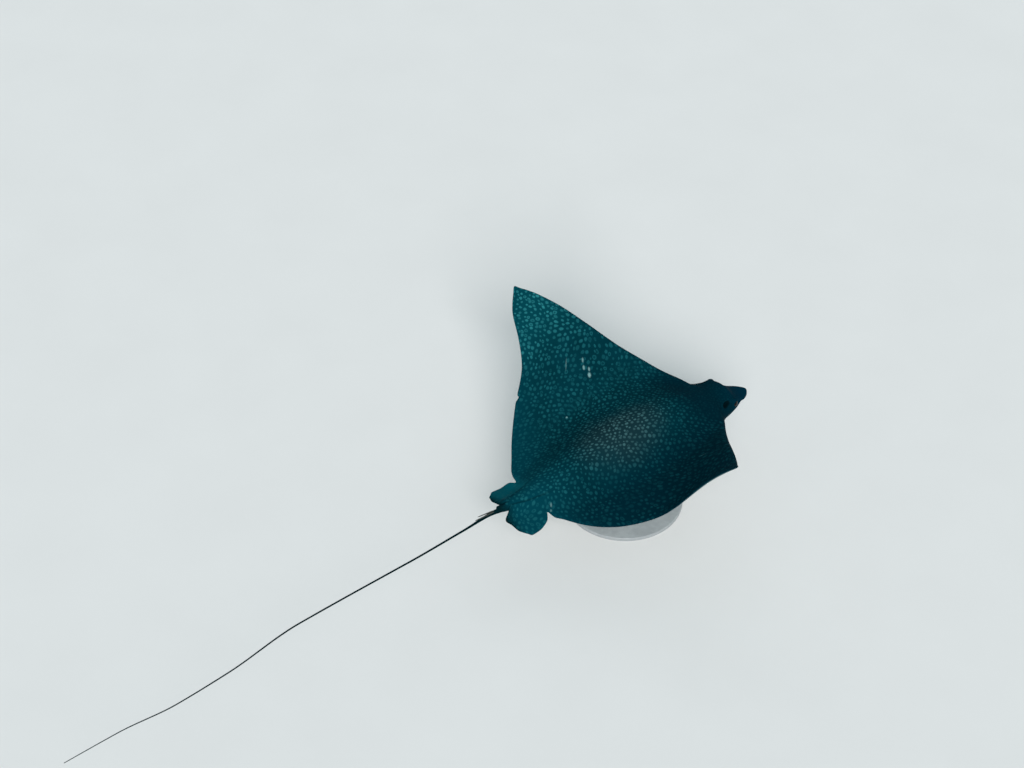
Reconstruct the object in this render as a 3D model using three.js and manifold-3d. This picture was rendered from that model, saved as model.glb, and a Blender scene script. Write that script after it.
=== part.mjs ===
// Spotted eagle ray, life size, in the middle of an upstroke, on a display stand.
// Millimetres, +Z up. The head points along -Y and the ray's left wing lies on the +X side.
// The origin is the middle of the underside of the stand's base.
//
// The fish is first described flat, as it would lie spread on a table: "across" is the distance
// from the midline, "ahead" runs towards the snout from the level of the wing tips, and "up" is
// the height over the middle plane of the disc. All three are shares of the disc width.
// The pose then lifts both wings and lowers their trailing edges.

import * as THREE from 'three';
import { ParametricGeometry } from 'three/addons/geometries/ParametricGeometry.js';
import { mergeVertices } from 'three/addons/utils/BufferGeometryUtils.js';
import Module from 'manifold-3d';

const wasm = await Module();
wasm.setup();

// ---- Driving dimensions ---------------------------------------------------------------------

const discWidth = 1500;
const cutGap = 0.3;

// Pose: each wing bends upwards along an arc of its span and is straight outside that arc.
// The two sides of a swimming ray differ a little. A pair holds the left and the right value.
const wingRises = [48.2, 48.8].map(THREE.MathUtils.degToRad);
const bendStart = 0.0114;
const bendEnd = 0.34;
// The wing also pitches nose up about a line across the disc, so its trailing edge hangs lower.
const wingPitches = [32.6, 33.3].map(THREE.MathUtils.degToRad);
const pitchAxisAhead = 0.02;
const pitchStart = 0.0107;
const pitchEnd = 0.42;
// Towards its tip the right wing twists back out of that pitch.
const tipEases = [0, 1.3];
const tipEaseStart = 0.276;
// The pelvic fins are carried a little forwards or rearwards.
const pelvicSweeps = [0.0026, -0.011];

// Where the body is parted into its named lengths.
const snoutCut = 0.362;
const neckCut = 0.293;
const wingCut = 0.12;
const pelvicCut = -0.252;
const pelvicInnerCut = 0.02;
const tailRootCut = -0.338;
const tailCuts = [tailRootCut, -0.55, -0.84, -1.16, -1.5];

const eyeRadius = 17;
const eyeAcross = 0.0435;
const eyeAhead = 0.331;
const eyeUp = 0.005;

const finFront = -0.33;
const finLength = 40;
const finHeight = 15;
const finThickness = 3.4;

const spineStart = -0.362;
const spineLengths = [84, 64];
const spineWidth = 4.6;
const spineThickness = 2;
const spineTilt = THREE.MathUtils.degToRad(5);
const spineSpread = THREE.MathUtils.degToRad(2);

const planeHeight = 262;
const standAhead = 0.03;
const baseRadius = 215;
const baseHeight = 14;
const baseEdge = 3;
const rodSpacing = 260;
const rodRadius = 8;
const flangeRadius = 26;
const flangeHeight = 7;
const padRadius = 30;
const padHeight = 16;
const padDrop = 10;

// Fineness of the solids.
const bodyRings = 68;
const bodyRingPoints = 32;
const midlineCrowding = 0.2;
const tailRings = 8;
const tailRingPoints = 12;
const turnedSides = 24;
const eyeSides = 14;

// ---- Small helpers --------------------------------------------------------------------------

function smoothStep(x) {
  const t = THREE.MathUtils.clamp(x, 0, 1);
  return t * t * (3 - 2 * t);
}

// A smooth curve through a few points, with no overshoot between them.
function curveThrough(points) {
  const xs = points.map((point) => point[0]);
  const ys = points.map((point) => point[1]);
  const last = xs.length - 1;
  const secants = [];
  for (let i = 0; i < last; i++) {
    secants.push((ys[i + 1] - ys[i]) / (xs[i + 1] - xs[i]));
  }
  const slopes = [secants[0]];
  for (let i = 1; i < last; i++) {
    const before = secants[i - 1];
    const after = secants[i];
    slopes.push(before * after <= 0 ? 0 : (2 * before * after) / (before + after));
  }
  slopes.push(secants[last - 1]);
  return (x) => {
    const place = THREE.MathUtils.clamp(x, xs[0], xs[last]);
    let i = 0;
    while (i < last - 1 && place > xs[i + 1]) {
      i++;
    }
    const width = xs[i + 1] - xs[i];
    const t = (place - xs[i]) / width;
    const rise = (3 - 2 * t) * t * t;
    const startPull = t * (1 - t) * (1 - t);
    const endPull = t * t * (t - 1);
    const level = ys[i] * (1 - rise) + ys[i + 1] * rise;
    return level + width * (slopes[i] * startPull + slopes[i + 1] * endPull);
  };
}

// ---- The fish, spread flat ------------------------------------------------------------------

// Outline from the tip of the snout round the wing and the pelvic fin to the end of the tail:
// across, ahead, and where on the midline the cross line to that point starts. A fourth number is
// the right side's own place ahead, where it differs from the left side's.
const outline = [
  [0, 0.4105, 0.372], // tip of the snout lobe
  [0.0174, 0.3986, 0.37],
  [0.0251, 0.3866, 0.366],
  [0.027, 0.3827, 0.36],
  [0.0307, 0.37, 0.352],
  [0.0382, 0.358, 0.344], // root of the snout lobe
  [0.0456, 0.345, 0.334],
  [0.0508, 0.33, 0.322], // eye
  [0.0566, 0.315, 0.309],
  [0.0609, 0.299, 0.295],
  [0.076, 0.2691, 0.276, 0.2744], // wing meets the head
  [0.1, 0.2601, 0.256, 0.2551],
  [0.15, 0.2274, 0.22, 0.217],
  [0.22, 0.1805, 0.172, 0.1713],
  [0.3, 0.1369, 0.125, 0.1266],
  [0.3765, 0.0933, 0.08, 0.0834],
  [0.4519, 0.0428, 0.036, 0.0403],
  [0.4846, 0.0159, 0.014, 0.0198],
  [0.5, 0.0022, 0.004, 0.0085], // wing tip
  [0.4896, -0.007, -0.004, -0.0049],
  [0.4547, -0.0303, -0.022, -0.025],
  [0.3991, -0.0427, -0.04, -0.0436],
  [0.34, -0.0625, -0.066, -0.0688],
  [0.27, -0.1215, -0.11, -0.1132],
  [0.2, -0.1711, -0.16, -0.1672],
  [0.14, -0.2098, -0.197, -0.2105],
  [0.1, -0.2373, -0.224, -0.2367],
  [0.084, -0.245, -0.234, -0.249], // rear corner of the wing
  [0.062, -0.2525, -0.242],
  [0.0781, -0.264, -0.253],
  [0.0835, -0.284, -0.266], // outer edge of the pelvic fin
  [0.0853, -0.3047, -0.278],
  [0.0778, -0.3149, -0.287],
  [0.06, -0.3325, -0.294],
  [0.036, -0.3433, -0.3],
  [0.019, -0.334, -0.307],
  [0.0095, -0.322, -0.318], // pelvic fin meets the tail
  [0.0068, -0.331, -0.331],
  [0.0055, -0.348, -0.348],
  [0.0036, -0.385, -0.385],
  [0.0025, -0.45, -0.45],
  [0.0021, -0.62, -0.62],
  [0.0018, -0.9, -0.9],
  [0.0014, -1.2, -1.2],
  [0.0008, -1.5, -1.5], // end of the tail
];
const tipOfTail = outline.length - 1;
const tailStart = 37;
const outlineAcross = curveThrough(outline.map((point, i) => [i, point[0]]));
// The first point's neighbour is repeated before it, as on the other side, to round the snout.
const pastSnout = [-1, outline[1][1]];
const outlineAhead = curveThrough([pastSnout, ...outline.map((point, i) => [i, point[1]])]);
const outlineAheadRight = curveThrough([pastSnout, ...outline.map((point, i) => [i, point[3] ?? point[1]])]);
const outlineAnchor = curveThrough(outline.map((point, i) => [i, point[2]]));

// Height of the body's bulk over and under the middle plane, along the midline.
const bulkOver = curveThrough([
  [-1.5, 0.0008], [-1.2, 0.0014], [-0.9, 0.0018], [-0.62, 0.0021], [-0.45, 0.0026], [-0.385, 0.0042],
  [-0.348, 0.0068], [-0.32, 0.0102], [-0.26, 0.018], [-0.2, 0.028], [-0.1, 0.046], [0, 0.059],
  [0.1, 0.066], [0.18, 0.0611], [0.25, 0.0362], [0.3, 0.0233], [0.33, 0.0266], [0.35, 0.0127],
  [0.366, 0.0043], [0.385, 0.0012], [0.405, 0.001],
]);
const bulkUnder = curveThrough([
  [-1.5, 0.0008], [-1.2, 0.0014], [-0.9, 0.0018], [-0.62, 0.0021], [-0.45, 0.0025], [-0.385, 0.0038],
  [-0.348, 0.006], [-0.32, 0.0085], [-0.26, 0.014], [-0.2, 0.021], [-0.1, 0.033], [0, 0.041],
  [0.1, 0.045], [0.18, 0.044], [0.25, 0.042], [0.3, 0.038], [0.33, 0.032], [0.35, 0.02],
  [0.366, 0.012], [0.385, 0.008], [0.405, 0.006],
]);
// Distance from the midline at which the bulk has faded into the flat of the wing.
const bulkWidth = curveThrough([
  [-0.34, 0.035], [-0.28, 0.05], [-0.2, 0.095], [-0.1, 0.13], [0, 0.16], [0.1, 0.168],
  [0.2, 0.15], [0.27, 0.14], [0.3, 0.165], [0.34, 0.28], [0.4, 0.6],
]);
// Half thickness of the flat sheet that makes the wings, first by its place along the body.
const sheetAlong = curveThrough([
  [-0.345, 0], [-0.325, 0.003], [-0.25, 0.006], [-0.15, 0.01], [0, 0.0125], [0.25, 0.013],
  [0.33, 0.01], [0.365, 0.006], [0.405, 0.003],
]);
// Then its share left at each distance from the midline.
const sheetAcross = curveThrough([[0, 1], [0.03, 1], [0.12, 0.86], [0.25, 0.62], [0.4, 0.34], [0.5, 0.18]]);
// The snout lobe lies lower than the disc.
const middleAlong = curveThrough([
  [0.32, 0], [0.35, -0.0043], [0.366, -0.0095], [0.385, -0.0149], [0.405, -0.0163],
]);

const trailingThinning = 0.55;
const pelvicSlopes = [0.329, 0.216];

// The left or the right value of a pair: left lies on the positive side of the midline.
function onSide(side, pair) {
  return side > 0 ? pair[0] : pair[1];
}

// The middle plane dips at the snout, and the pelvic fins slope down and outwards.
function middleHeight(side, across, ahead) {
  const pelvic = smoothStep((-0.245 - ahead) / 0.04) * smoothStep((ahead + 0.34) / 0.012);
  return middleAlong(ahead) - onSide(side, pelvicSlopes) * Math.max(0, across - 0.014) * pelvic;
}

// How far in from the outline the surface is rounded off: all the way on the head and the tail.
function edgeZone(anchor, lineLength, outlineDistance) {
  const onHead = smoothStep((anchor - 0.262) / 0.04);
  const onTail = smoothStep((-0.305 - anchor) / 0.014);
  const onWing = 0.011 + 0.014 * (1 - outlineDistance / 0.5);
  const full = 0.94 * lineLength;
  return THREE.MathUtils.lerp(Math.min(onWing, full), full, Math.max(onHead, onTail));
}

// A point on the surface of the flat fish. "station" counts along the outline, and "around" goes
// once round that station's ring: right edge, back, left edge, belly.
function flatPoint(station, around) {
  const turn = around * 2 * Math.PI;
  const side = -Math.cos(turn + midlineCrowding * Math.sin(2 * turn));
  const edgeAcross = outlineAcross(station);
  const edgeAhead = side > 0 ? outlineAhead(station) : outlineAheadRight(station);
  const anchor = outlineAnchor(station);
  const share = Math.abs(side);
  const across = edgeAcross * share;
  const ahead = anchor + (edgeAhead - anchor) * share;
  const lineLength = Math.hypot(edgeAcross, edgeAhead - anchor);
  const inset = Math.min(1, ((1 - share) * lineLength) / edgeZone(anchor, lineLength, edgeAcross));
  const rounding = Math.sqrt(1 - (1 - inset) ** 2);
  const dome = (1 - Math.min(1, across / bulkWidth(ahead)) ** 2) ** 2;
  const trailing = smoothStep((0.05 - anchor) / 0.12) * trailingThinning * share * share;
  const sheet = sheetAlong(ahead) * sheetAcross(across) * (1 - trailing);
  const onBack = around <= 0.5;
  const bulk = onBack ? bulkOver(ahead) : -bulkUnder(ahead);
  const up = rounding * (bulk * dome + (onBack ? sheet : -sheet));
  return { across: Math.sign(side) * across, ahead, up, middle: middleHeight(side, across, ahead) };
}

// ---- The pose -------------------------------------------------------------------------------

const tailSide = curveThrough([
  [-1.5, -0.006], [-1.37, -0.008], [-1.23, -0.021], [-1.1, -0.018], [-0.9, 0.0008], [-0.6, -0.0021],
  [-0.45, 0.0028], [-0.38, 0.0039], [-0.33, 0.0011], [-0.26, 0],
]);
const tailDrop = curveThrough([
  [-1.5, -0.052], [-1.2, -0.035], [-0.9, -0.0151], [-0.6, -0.0012], [-0.45, 0.0018], [-0.36, 0.0082],
  [-0.28, 0.0037], [-0.2, 0],
]);

// Bends a flat point into the pose and sets it over the stand, in millimetres.
function posed({ across, ahead, up, middle }, target) {
  const distance = Math.abs(across);
  const wingRise = onSide(across, wingRises);
  const radius = (bendEnd - bendStart) / wingRise;
  const angle = THREE.MathUtils.clamp((distance - bendStart) / radius, 0, wingRise);
  const beyond = Math.max(0, distance - bendEnd);
  const reach = Math.min(distance, bendStart) + radius * Math.sin(angle) + beyond * Math.cos(wingRise);
  const lift = radius * (1 - Math.cos(angle)) + beyond * Math.sin(wingRise);
  const tipEase = onSide(across, tipEases);
  const easing = 1 - tipEase * smoothStep((distance - tipEaseStart) / (0.5 - tipEaseStart));
  const wingPitch = onSide(across, wingPitches);
  const pitch = wingPitch * easing * smoothStep((distance - pitchStart) / (pitchEnd - pitchStart));
  const onPelvicFin = smoothStep((-0.245 - ahead) / 0.05) * smoothStep((distance - 0.012) / 0.03);
  const lever = ahead + onSide(across, pelvicSweeps) * onPelvicFin - pitchAxisAhead;
  const height = up + middle;
  const x = Math.sign(across) * (reach - height * Math.cos(pitch) * Math.sin(angle)) + tailSide(ahead);
  const forward = pitchAxisAhead + lever * Math.cos(pitch) - height * Math.sin(pitch);
  const z = lift + lever * Math.sin(pitch) + height * Math.cos(pitch) * Math.cos(angle) + tailDrop(ahead);
  target.set(x * discWidth, (standAhead - forward) * discWidth, z * discWidth + planeHeight);
  return target;
}

function aheadToY(ahead) {
  return (standAhead - ahead) * discWidth;
}

// ---- Solids ---------------------------------------------------------------------------------

function toSolid(geometry) {
  const bare = geometry.clone();
  bare.deleteAttribute('normal');
  bare.deleteAttribute('uv');
  const merged = mergeVertices(bare, 1e-3);
  const triangles = [];
  const index = merged.index.array;
  for (let i = 0; i < index.length; i += 3) {
    const [a, b, c] = index.slice(i, i + 3);
    if (a !== b && b !== c && c !== a) {
      triangles.push(a, b, c);
    }
  }
  const vertProperties = new Float32Array(merged.attributes.position.array);
  const mesh = new wasm.Mesh({ numProp: 3, vertProperties, triVerts: new Uint32Array(triangles) });
  return new wasm.Manifold(mesh);
}

function toMesh(name, solid, material) {
  const { vertProperties, triVerts } = solid.getMesh();
  const geometry = new THREE.BufferGeometry();
  geometry.setAttribute('position', new THREE.BufferAttribute(vertProperties, 3));
  geometry.setIndex(new THREE.BufferAttribute(triVerts, 1));
  geometry.computeVertexNormals();
  const mesh = new THREE.Mesh(geometry, material);
  mesh.name = name;
  return mesh;
}

// A closed length of the fish between two stations, with flat ends.
function bodyLength(fromStation, toStation, rings, ringPoints) {
  const back = new THREE.Vector3();
  const place = (around, along, target) => {
    const ring = Math.round(along * (rings + 2)) - 1;
    const station = THREE.MathUtils.lerp(fromStation, toStation, THREE.MathUtils.clamp(ring / rings, 0, 1));
    if (station > 0 && (ring < 0 || ring > rings)) {
      posed(flatPoint(station, 0.25), back);
      posed(flatPoint(station, 0.75), target).lerp(back, 0.5);
      return;
    }
    posed(flatPoint(station, around % 1), target);
  };
  return toSolid(new ParametricGeometry(place, ringPoints, rings + 2));
}

// The station on the tail that lies at a given place ahead.
function tailStation(ahead) {
  let low = tailStart;
  let high = tipOfTail;
  for (let halving = 0; halving < 40; halving++) {
    const middle = (low + high) / 2;
    if (outlineAhead(middle) > ahead) {
      low = middle;
    } else {
      high = middle;
    }
  }
  return low;
}

// A box that spans from low to high across, ahead and up, for parting the body.
function boxBetween(low, high) {
  const size = high.map((value, axis) => value - low[axis]);
  const geometry = new THREE.BoxGeometry(...size);
  geometry.translate(...high.map((value, axis) => (value + low[axis]) / 2));
  return toSolid(geometry);
}

// A turned piece standing at a place, from a profile of radius and height.
function turned(profile, x, y, z) {
  const geometry = new THREE.LatheGeometry(profile.map(([r, h]) => new THREE.Vector2(r, h)), turnedSides);
  geometry.rotateX(Math.PI / 2);
  geometry.translate(x, y, z);
  return toSolid(geometry);
}

// ---- Flesh ----------------------------------------------------------------------------------

const farOff = 3000;
const halfGap = cutGap / 2;
const snoutY = aheadToY(snoutCut);
const neckY = aheadToY(neckCut);
const pelvicY = aheadToY(pelvicCut);
const wingX = wingCut * discWidth;
const pelvicX = pelvicInnerCut * discWidth;

const body = bodyLength(0, tailStation(tailRootCut), bodyRings, bodyRingPoints);

function eyeBall(side, radius) {
  const geometry = new THREE.SphereGeometry(radius, eyeSides, eyeSides / 2);
  const flatCenter = { across: side * eyeAcross, ahead: eyeAhead, up: eyeUp, middle: 0 };
  const center = posed(flatCenter, new THREE.Vector3());
  geometry.translate(center.x, center.y, center.z);
  return toSolid(geometry);
}

function makeHead() {
  const slab = boxBetween([-farOff, snoutY + halfGap, -farOff], [farOff, neckY - halfGap, farOff]);
  const block = body.intersect(slab);
  return block.subtract(eyeBall(1, eyeRadius + cutGap)).subtract(eyeBall(-1, eyeRadius + cutGap));
}

function makeSnoutLobe() {
  return body.intersect(boxBetween([-farOff, -farOff, -farOff], [farOff, snoutY - halfGap, farOff]));
}

function makeWing(side) {
  const low = side > 0 ? wingX + halfGap : -farOff;
  const high = side > 0 ? farOff : -wingX - halfGap;
  return body.intersect(boxBetween([low, neckY + halfGap, -farOff], [high, farOff, farOff]));
}

// The box round one pelvic fin, drawn in on three sides by a margin.
function pelvicBox(side, margin) {
  const inner = pelvicX + margin;
  const outer = wingX - margin;
  const low = side > 0 ? inner : -outer;
  return boxBetween([low, pelvicY + margin, -farOff], [low + outer - inner, farOff, farOff]);
}

function makePelvicFin(side) {
  return body.intersect(pelvicBox(side, halfGap));
}

function makeTrunk() {
  const slab = boxBetween(
    [-wingX + halfGap, neckY + halfGap, -farOff],
    [wingX - halfGap, farOff, farOff],
  );
  return body.intersect(slab).subtract(pelvicBox(1, -halfGap)).subtract(pelvicBox(-1, -halfGap));
}

// One length of the tail, with half a gap at each end.
function makeTailLength(front, rear) {
  const halfShare = halfGap / discWidth;
  return bodyLength(tailStation(front - halfShare), tailStation(rear + halfShare), tailRings, tailRingPoints);
}

const tailSolids = tailCuts.slice(1).map((rear, i) => makeTailLength(tailCuts[i], rear));

// ---- Dorsal fin and spines ------------------------------------------------------------------

// The top of the tail at a place ahead.
function tailTop(ahead) {
  return posed({ across: 0, ahead, up: bulkOver(ahead), middle: 0 }, new THREE.Vector3());
}

// Frees a piece that grows from the tail from the solids under it, with a gap.
function freeOfTail(solid) {
  const lifted = [0, 0, cutGap];
  return solid.subtract(tailSolids[0].translate(lifted)).subtract(body.translate(lifted));
}

function makeDorsalFin() {
  const shape = new THREE.Shape();
  const root = -finHeight / 3;
  shape.moveTo(0, root);
  shape.quadraticCurveTo(finLength * 0.25, finHeight * 0.7, finLength * 0.62, finHeight);
  shape.quadraticCurveTo(finLength * 0.86, finHeight * 1.06, finLength * 0.88, finHeight * 0.75);
  shape.quadraticCurveTo(finLength * 0.8, finHeight * 0.3, finLength, root);
  const edge = finThickness / 4;
  const geometry = new THREE.ExtrudeGeometry(shape, {
    depth: finThickness - 2 * edge,
    bevelThickness: edge,
    bevelSize: edge,
    bevelSegments: 1,
    curveSegments: 6,
  });
  geometry.translate(0, 0, edge - finThickness / 2);
  const toRow = new THREE.Matrix4().makeBasis(
    new THREE.Vector3(0, 1, 0),
    new THREE.Vector3(0, 0, 1),
    new THREE.Vector3(1, 0, 0),
  );
  geometry.applyMatrix4(toRow);
  const top = tailTop(finFront);
  geometry.translate(top.x, top.y, top.z);
  return freeOfTail(toSolid(geometry));
}

function makeSpine(length, side) {
  const half = spineWidth / 2;
  const shape = new THREE.Shape();
  shape.moveTo(-half * 0.7, 0);
  shape.lineTo(-half, length * 0.3);
  shape.lineTo(-half * 0.5, length * 0.85);
  shape.lineTo(0, length);
  shape.lineTo(half * 0.5, length * 0.85);
  shape.lineTo(half, length * 0.3);
  shape.lineTo(half * 0.7, 0);
  const edge = spineThickness / 4;
  const geometry = new THREE.ExtrudeGeometry(shape, {
    depth: spineThickness - 2 * edge,
    bevelThickness: edge,
    bevelSize: edge,
    bevelSegments: 1,
  });
  geometry.rotateX(spineTilt);
  geometry.rotateZ(-side * spineSpread);
  const top = tailTop(spineStart);
  geometry.translate(top.x + side * (half + 2 * edge), top.y, top.z - spineThickness);
  return freeOfTail(toSolid(geometry));
}

// ---- Stand ----------------------------------------------------------------------------------

function makeStandBase() {
  const profile = [
    [0, 0],
    [baseRadius, 0],
    [baseRadius, baseHeight - baseEdge],
    [baseRadius - baseEdge, baseHeight],
    [0, baseHeight],
  ];
  return turned(profile, 0, 0, 0);
}

// The height of the belly on the midline over a place on the stand.
function bellyHeight(y) {
  const ahead = standAhead - y / discWidth;
  const up = -bulkUnder(ahead) - sheetAlong(ahead);
  return posed({ across: 0, ahead, up, middle: middleAlong(ahead) }, new THREE.Vector3()).z;
}

function makeRod(y) {
  const foot = baseHeight + cutGap;
  const top = bellyHeight(y) - padDrop - cutGap - foot;
  const profile = [
    [0, 0],
    [flangeRadius, 0],
    [flangeRadius, flangeHeight - 2],
    [flangeRadius - 2, flangeHeight],
    [rodRadius, flangeHeight],
    [rodRadius, top],
    [0, top],
  ];
  return turned(profile, 0, y, foot);
}

function makePad(y) {
  const profile = [
    [0, 0],
    [padRadius * 0.6, 0],
    [padRadius, padHeight * 0.4],
    [padRadius, padHeight],
    [0, padHeight],
  ];
  const blank = turned(profile, 0, y, bellyHeight(y) - padDrop);
  return blank.subtract(body.translate([0, 0, -cutGap]));
}

// ---- Materials and the whole model ----------------------------------------------------------

const skin = new THREE.MeshStandardMaterial({ color: 0x16323a, roughness: 0.55, metalness: 0 });
const eye = new THREE.MeshStandardMaterial({ color: 0x0a0c0e, roughness: 0.12, metalness: 0 });
const spine = new THREE.MeshStandardMaterial({ color: 0xcfc6b0, roughness: 0.5, metalness: 0 });
const paint = new THREE.MeshStandardMaterial({ color: 0xc9ccca, roughness: 0.5, metalness: 0 });
const steel = new THREE.MeshStandardMaterial({ color: 0xb4b8bb, roughness: 0.3, metalness: 1 });
const pad = new THREE.MeshStandardMaterial({ color: 0x232527, roughness: 0.85, metalness: 0 });

const group = new THREE.Group();

group.add(toMesh('head', makeHead(), skin));
group.add(toMesh('snout_lobe', makeSnoutLobe(), skin));
group.add(toMesh('trunk', makeTrunk(), skin));
for (const [name, side] of [['left', 1], ['right', -1]]) {
  group.add(toMesh(`wing_${name}`, makeWing(side), skin));
  group.add(toMesh(`pelvic_fin_${name}`, makePelvicFin(side), skin));
  group.add(toMesh(`eye_${name}`, eyeBall(side, eyeRadius), eye));
}
tailSolids.forEach((solid, i) => {
  group.add(toMesh(`tail_${i + 1}`, solid, skin));
});
group.add(toMesh('dorsal_fin', makeDorsalFin(), skin));
spineLengths.forEach((length, i) => {
  group.add(toMesh(`tail_spine_${i + 1}`, makeSpine(length, i === 0 ? -1 : 1), spine));
});
group.add(toMesh('stand_base', makeStandBase(), paint));
for (const [name, y] of [['front', -rodSpacing / 2], ['rear', rodSpacing / 2]]) {
  group.add(toMesh(`stand_rod_${name}`, makeRod(y), steel));
  group.add(toMesh(`stand_pad_${name}`, makePad(y), pad));
}

export default group;
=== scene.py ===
# %% [markdown]
# # Spotted eagle ray on a display stand
# A life-size museum model of a spotted eagle ray in the middle of an upstroke. Its construction
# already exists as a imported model: flesh parted into head, wings, fins and tail, with eyes, spines
# and a stand. This notebook gives it one smooth skin with the ray's spots, finishes the small
# pieces, and lights it on a plain floor. Everything is in metres: +Z is up, the snout points along
# -Y and the ray's left wing lies towards +X.

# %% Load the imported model
import math

import bmesh
import bpy
import numpy as np
from mathutils import Matrix, Vector


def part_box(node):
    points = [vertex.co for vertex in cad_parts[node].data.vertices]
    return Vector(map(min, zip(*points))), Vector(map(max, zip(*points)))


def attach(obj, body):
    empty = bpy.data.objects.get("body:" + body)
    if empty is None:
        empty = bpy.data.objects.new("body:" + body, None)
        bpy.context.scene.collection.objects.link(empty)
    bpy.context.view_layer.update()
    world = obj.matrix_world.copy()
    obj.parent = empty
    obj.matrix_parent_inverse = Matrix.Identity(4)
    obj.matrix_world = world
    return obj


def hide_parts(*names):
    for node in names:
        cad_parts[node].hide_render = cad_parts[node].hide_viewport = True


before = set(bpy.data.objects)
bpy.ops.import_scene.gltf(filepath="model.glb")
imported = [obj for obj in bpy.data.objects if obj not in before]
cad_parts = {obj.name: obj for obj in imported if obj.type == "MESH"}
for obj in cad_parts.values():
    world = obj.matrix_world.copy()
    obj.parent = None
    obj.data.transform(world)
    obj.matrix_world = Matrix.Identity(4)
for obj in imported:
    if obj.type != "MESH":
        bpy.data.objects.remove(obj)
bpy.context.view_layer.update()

# %% [markdown]
# ## Sizes
# The ray is first described flat, as it would lie spread on a table. Distances are shares of the
# disc width: "across" from the midline, "ahead" towards the snout and "up" over the middle plane.
# The stand's base and the lowest point under the belly tell how high the middle plane lies.

# %% Driving sizes
DISC_WIDTH = 1.5
STAND_AHEAD = 0.03
PLANE_HEIGHT = 0.262
BODY_POINT = Vector((0.0, STAND_AHEAD * DISC_WIDTH, PLANE_HEIGHT))
print("middle of the disc:", [round(v, 3) for v in BODY_POINT])

# %% [markdown]
# ## Camera
# The ray is seen from above and behind its right wing, as a diver sees it glide past. The camera
# stands well back with a long lens, so that the near wing isn't swollen. The ray sits a little to
# the right of the middle of the picture, to leave room for the tail.

# %% Camera
CAMERA_BEARING = math.radians(37.0)
CAMERA_ELEVATION = math.radians(41.4)
CAMERA_DISTANCE = 8.635
AIM_RIGHT = -0.371
AIM_UP = 0.243
LENS_LENGTH = 85.0  # millimetres, like the width below
SENSOR_WIDTH = 36.0

level_away = Vector((math.cos(CAMERA_BEARING), -math.sin(CAMERA_BEARING), 0.0))
picture_right = Vector((-math.sin(CAMERA_BEARING), -math.cos(CAMERA_BEARING), 0.0))
up = Vector((0.0, 0.0, 1.0))
looking = level_away * math.cos(CAMERA_ELEVATION) - up * math.sin(CAMERA_ELEVATION)
picture_up = level_away * math.sin(CAMERA_ELEVATION) + up * math.cos(CAMERA_ELEVATION)

camera_data = bpy.data.cameras.new("camera")
camera_data.lens = LENS_LENGTH
camera_data.sensor_width = SENSOR_WIDTH
camera = bpy.data.objects.new("camera", camera_data)
bpy.context.scene.collection.objects.link(camera)
eye_point = BODY_POINT - looking * CAMERA_DISTANCE + picture_right * AIM_RIGHT + picture_up * AIM_UP
turned = Matrix((picture_right, picture_up, -looking)).transposed()
camera.matrix_world = Matrix.Translation(eye_point) @ turned.to_4x4()
bpy.context.scene.camera = camera
print("camera at:", [round(v, 2) for v in camera.location])

# %% [markdown]
# ## Floor and light
# A model is judged on its surface, so the light is soft and wide. The key light comes low from the
# side of the raised right wing: it falls full on the left wing and leaves the right wing in its own
# shade, so the hollow between them reads well. A weak light fills from the front, and the pale world
# lifts the shadows. Both lights are wide suns, which light the plain, pale floor evenly.
# The finishes of all pieces are trees of nodes. A few helpers make the nodes, so that a sum on
# numbers in a finish reads like any other sum.

# %% Helpers for numbers in a finish
def set_inputs(node, inputs):
    """Sets a node's inputs to values, or links them to other nodes' outputs."""
    for key, value in inputs.items():
        value = value.output if isinstance(value, Number) else value
        if isinstance(value, bpy.types.NodeSocket):
            node.id_data.links.new(value, node.inputs[key])
        else:
            node.inputs[key].default_value = value


def add_node(tree, kind, inputs, **settings):
    """A node with its settings and inputs."""
    node = tree.nodes.new(kind)
    for key, value in settings.items():
        setattr(node, key, value)
    set_inputs(node, inputs)
    return node


def calculate(operation, a, b=0.0):
    """The result of one sum, of which a or b is a number in a finish."""
    tree = (a if isinstance(a, Number) else b).tree
    return Number(add_node(tree, "ShaderNodeMath", {0: a, 1: b}, operation=operation).outputs[0])


class Number:
    """A number worked out by nodes for each place on a surface. A sum on it adds a node."""

    def __init__(self, output):
        self.output = output
        self.tree = output.id_data

    def __add__(self, other):
        return calculate("ADD", self, other)

    def __sub__(self, other):
        return calculate("SUBTRACT", self, other)

    def __rsub__(self, other):
        return calculate("SUBTRACT", other, self)

    def __mul__(self, other):
        return calculate("MULTIPLY", self, other)

    def __truediv__(self, other):
        return calculate("DIVIDE", self, other)

    def __abs__(self):
        return calculate("ABSOLUTE", self)


def larger(a, b):
    return calculate("MAXIMUM", a, b)


# %% Helpers for finishes
def new_material(name):
    """A material with only a Principled shader, and its tree."""
    material = bpy.data.materials.new(name)
    material.use_nodes = True
    return material, material.node_tree


def set_shader(tree, inputs):
    """Sets or links inputs of a tree's Principled shader."""
    set_inputs(next(node for node in tree.nodes if node.type == "BSDF_PRINCIPLED"), inputs)


def object_place(tree):
    """The place of a surface point, in metres."""
    return add_node(tree, "ShaderNodeTexCoord", {}).outputs["Object"]


def fade(value, start, end, low=0.0, high=1.0):
    """A smooth change from low to high as a number goes from start to end."""
    inputs = {"Value": value, "From Min": start, "From Max": end, "To Min": low, "To Max": high}
    node = add_node(value.tree, "ShaderNodeMapRange", inputs, interpolation_type="SMOOTHSTEP")
    return Number(node.outputs["Result"])


def blend_colours(share, a, b):
    """Colour a turning into colour b as share goes from 0 to 1."""
    return add_node(share.tree, "ShaderNodeMix", {0: share, 6: a, 7: b}, data_type="RGBA").outputs[2]


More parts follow.
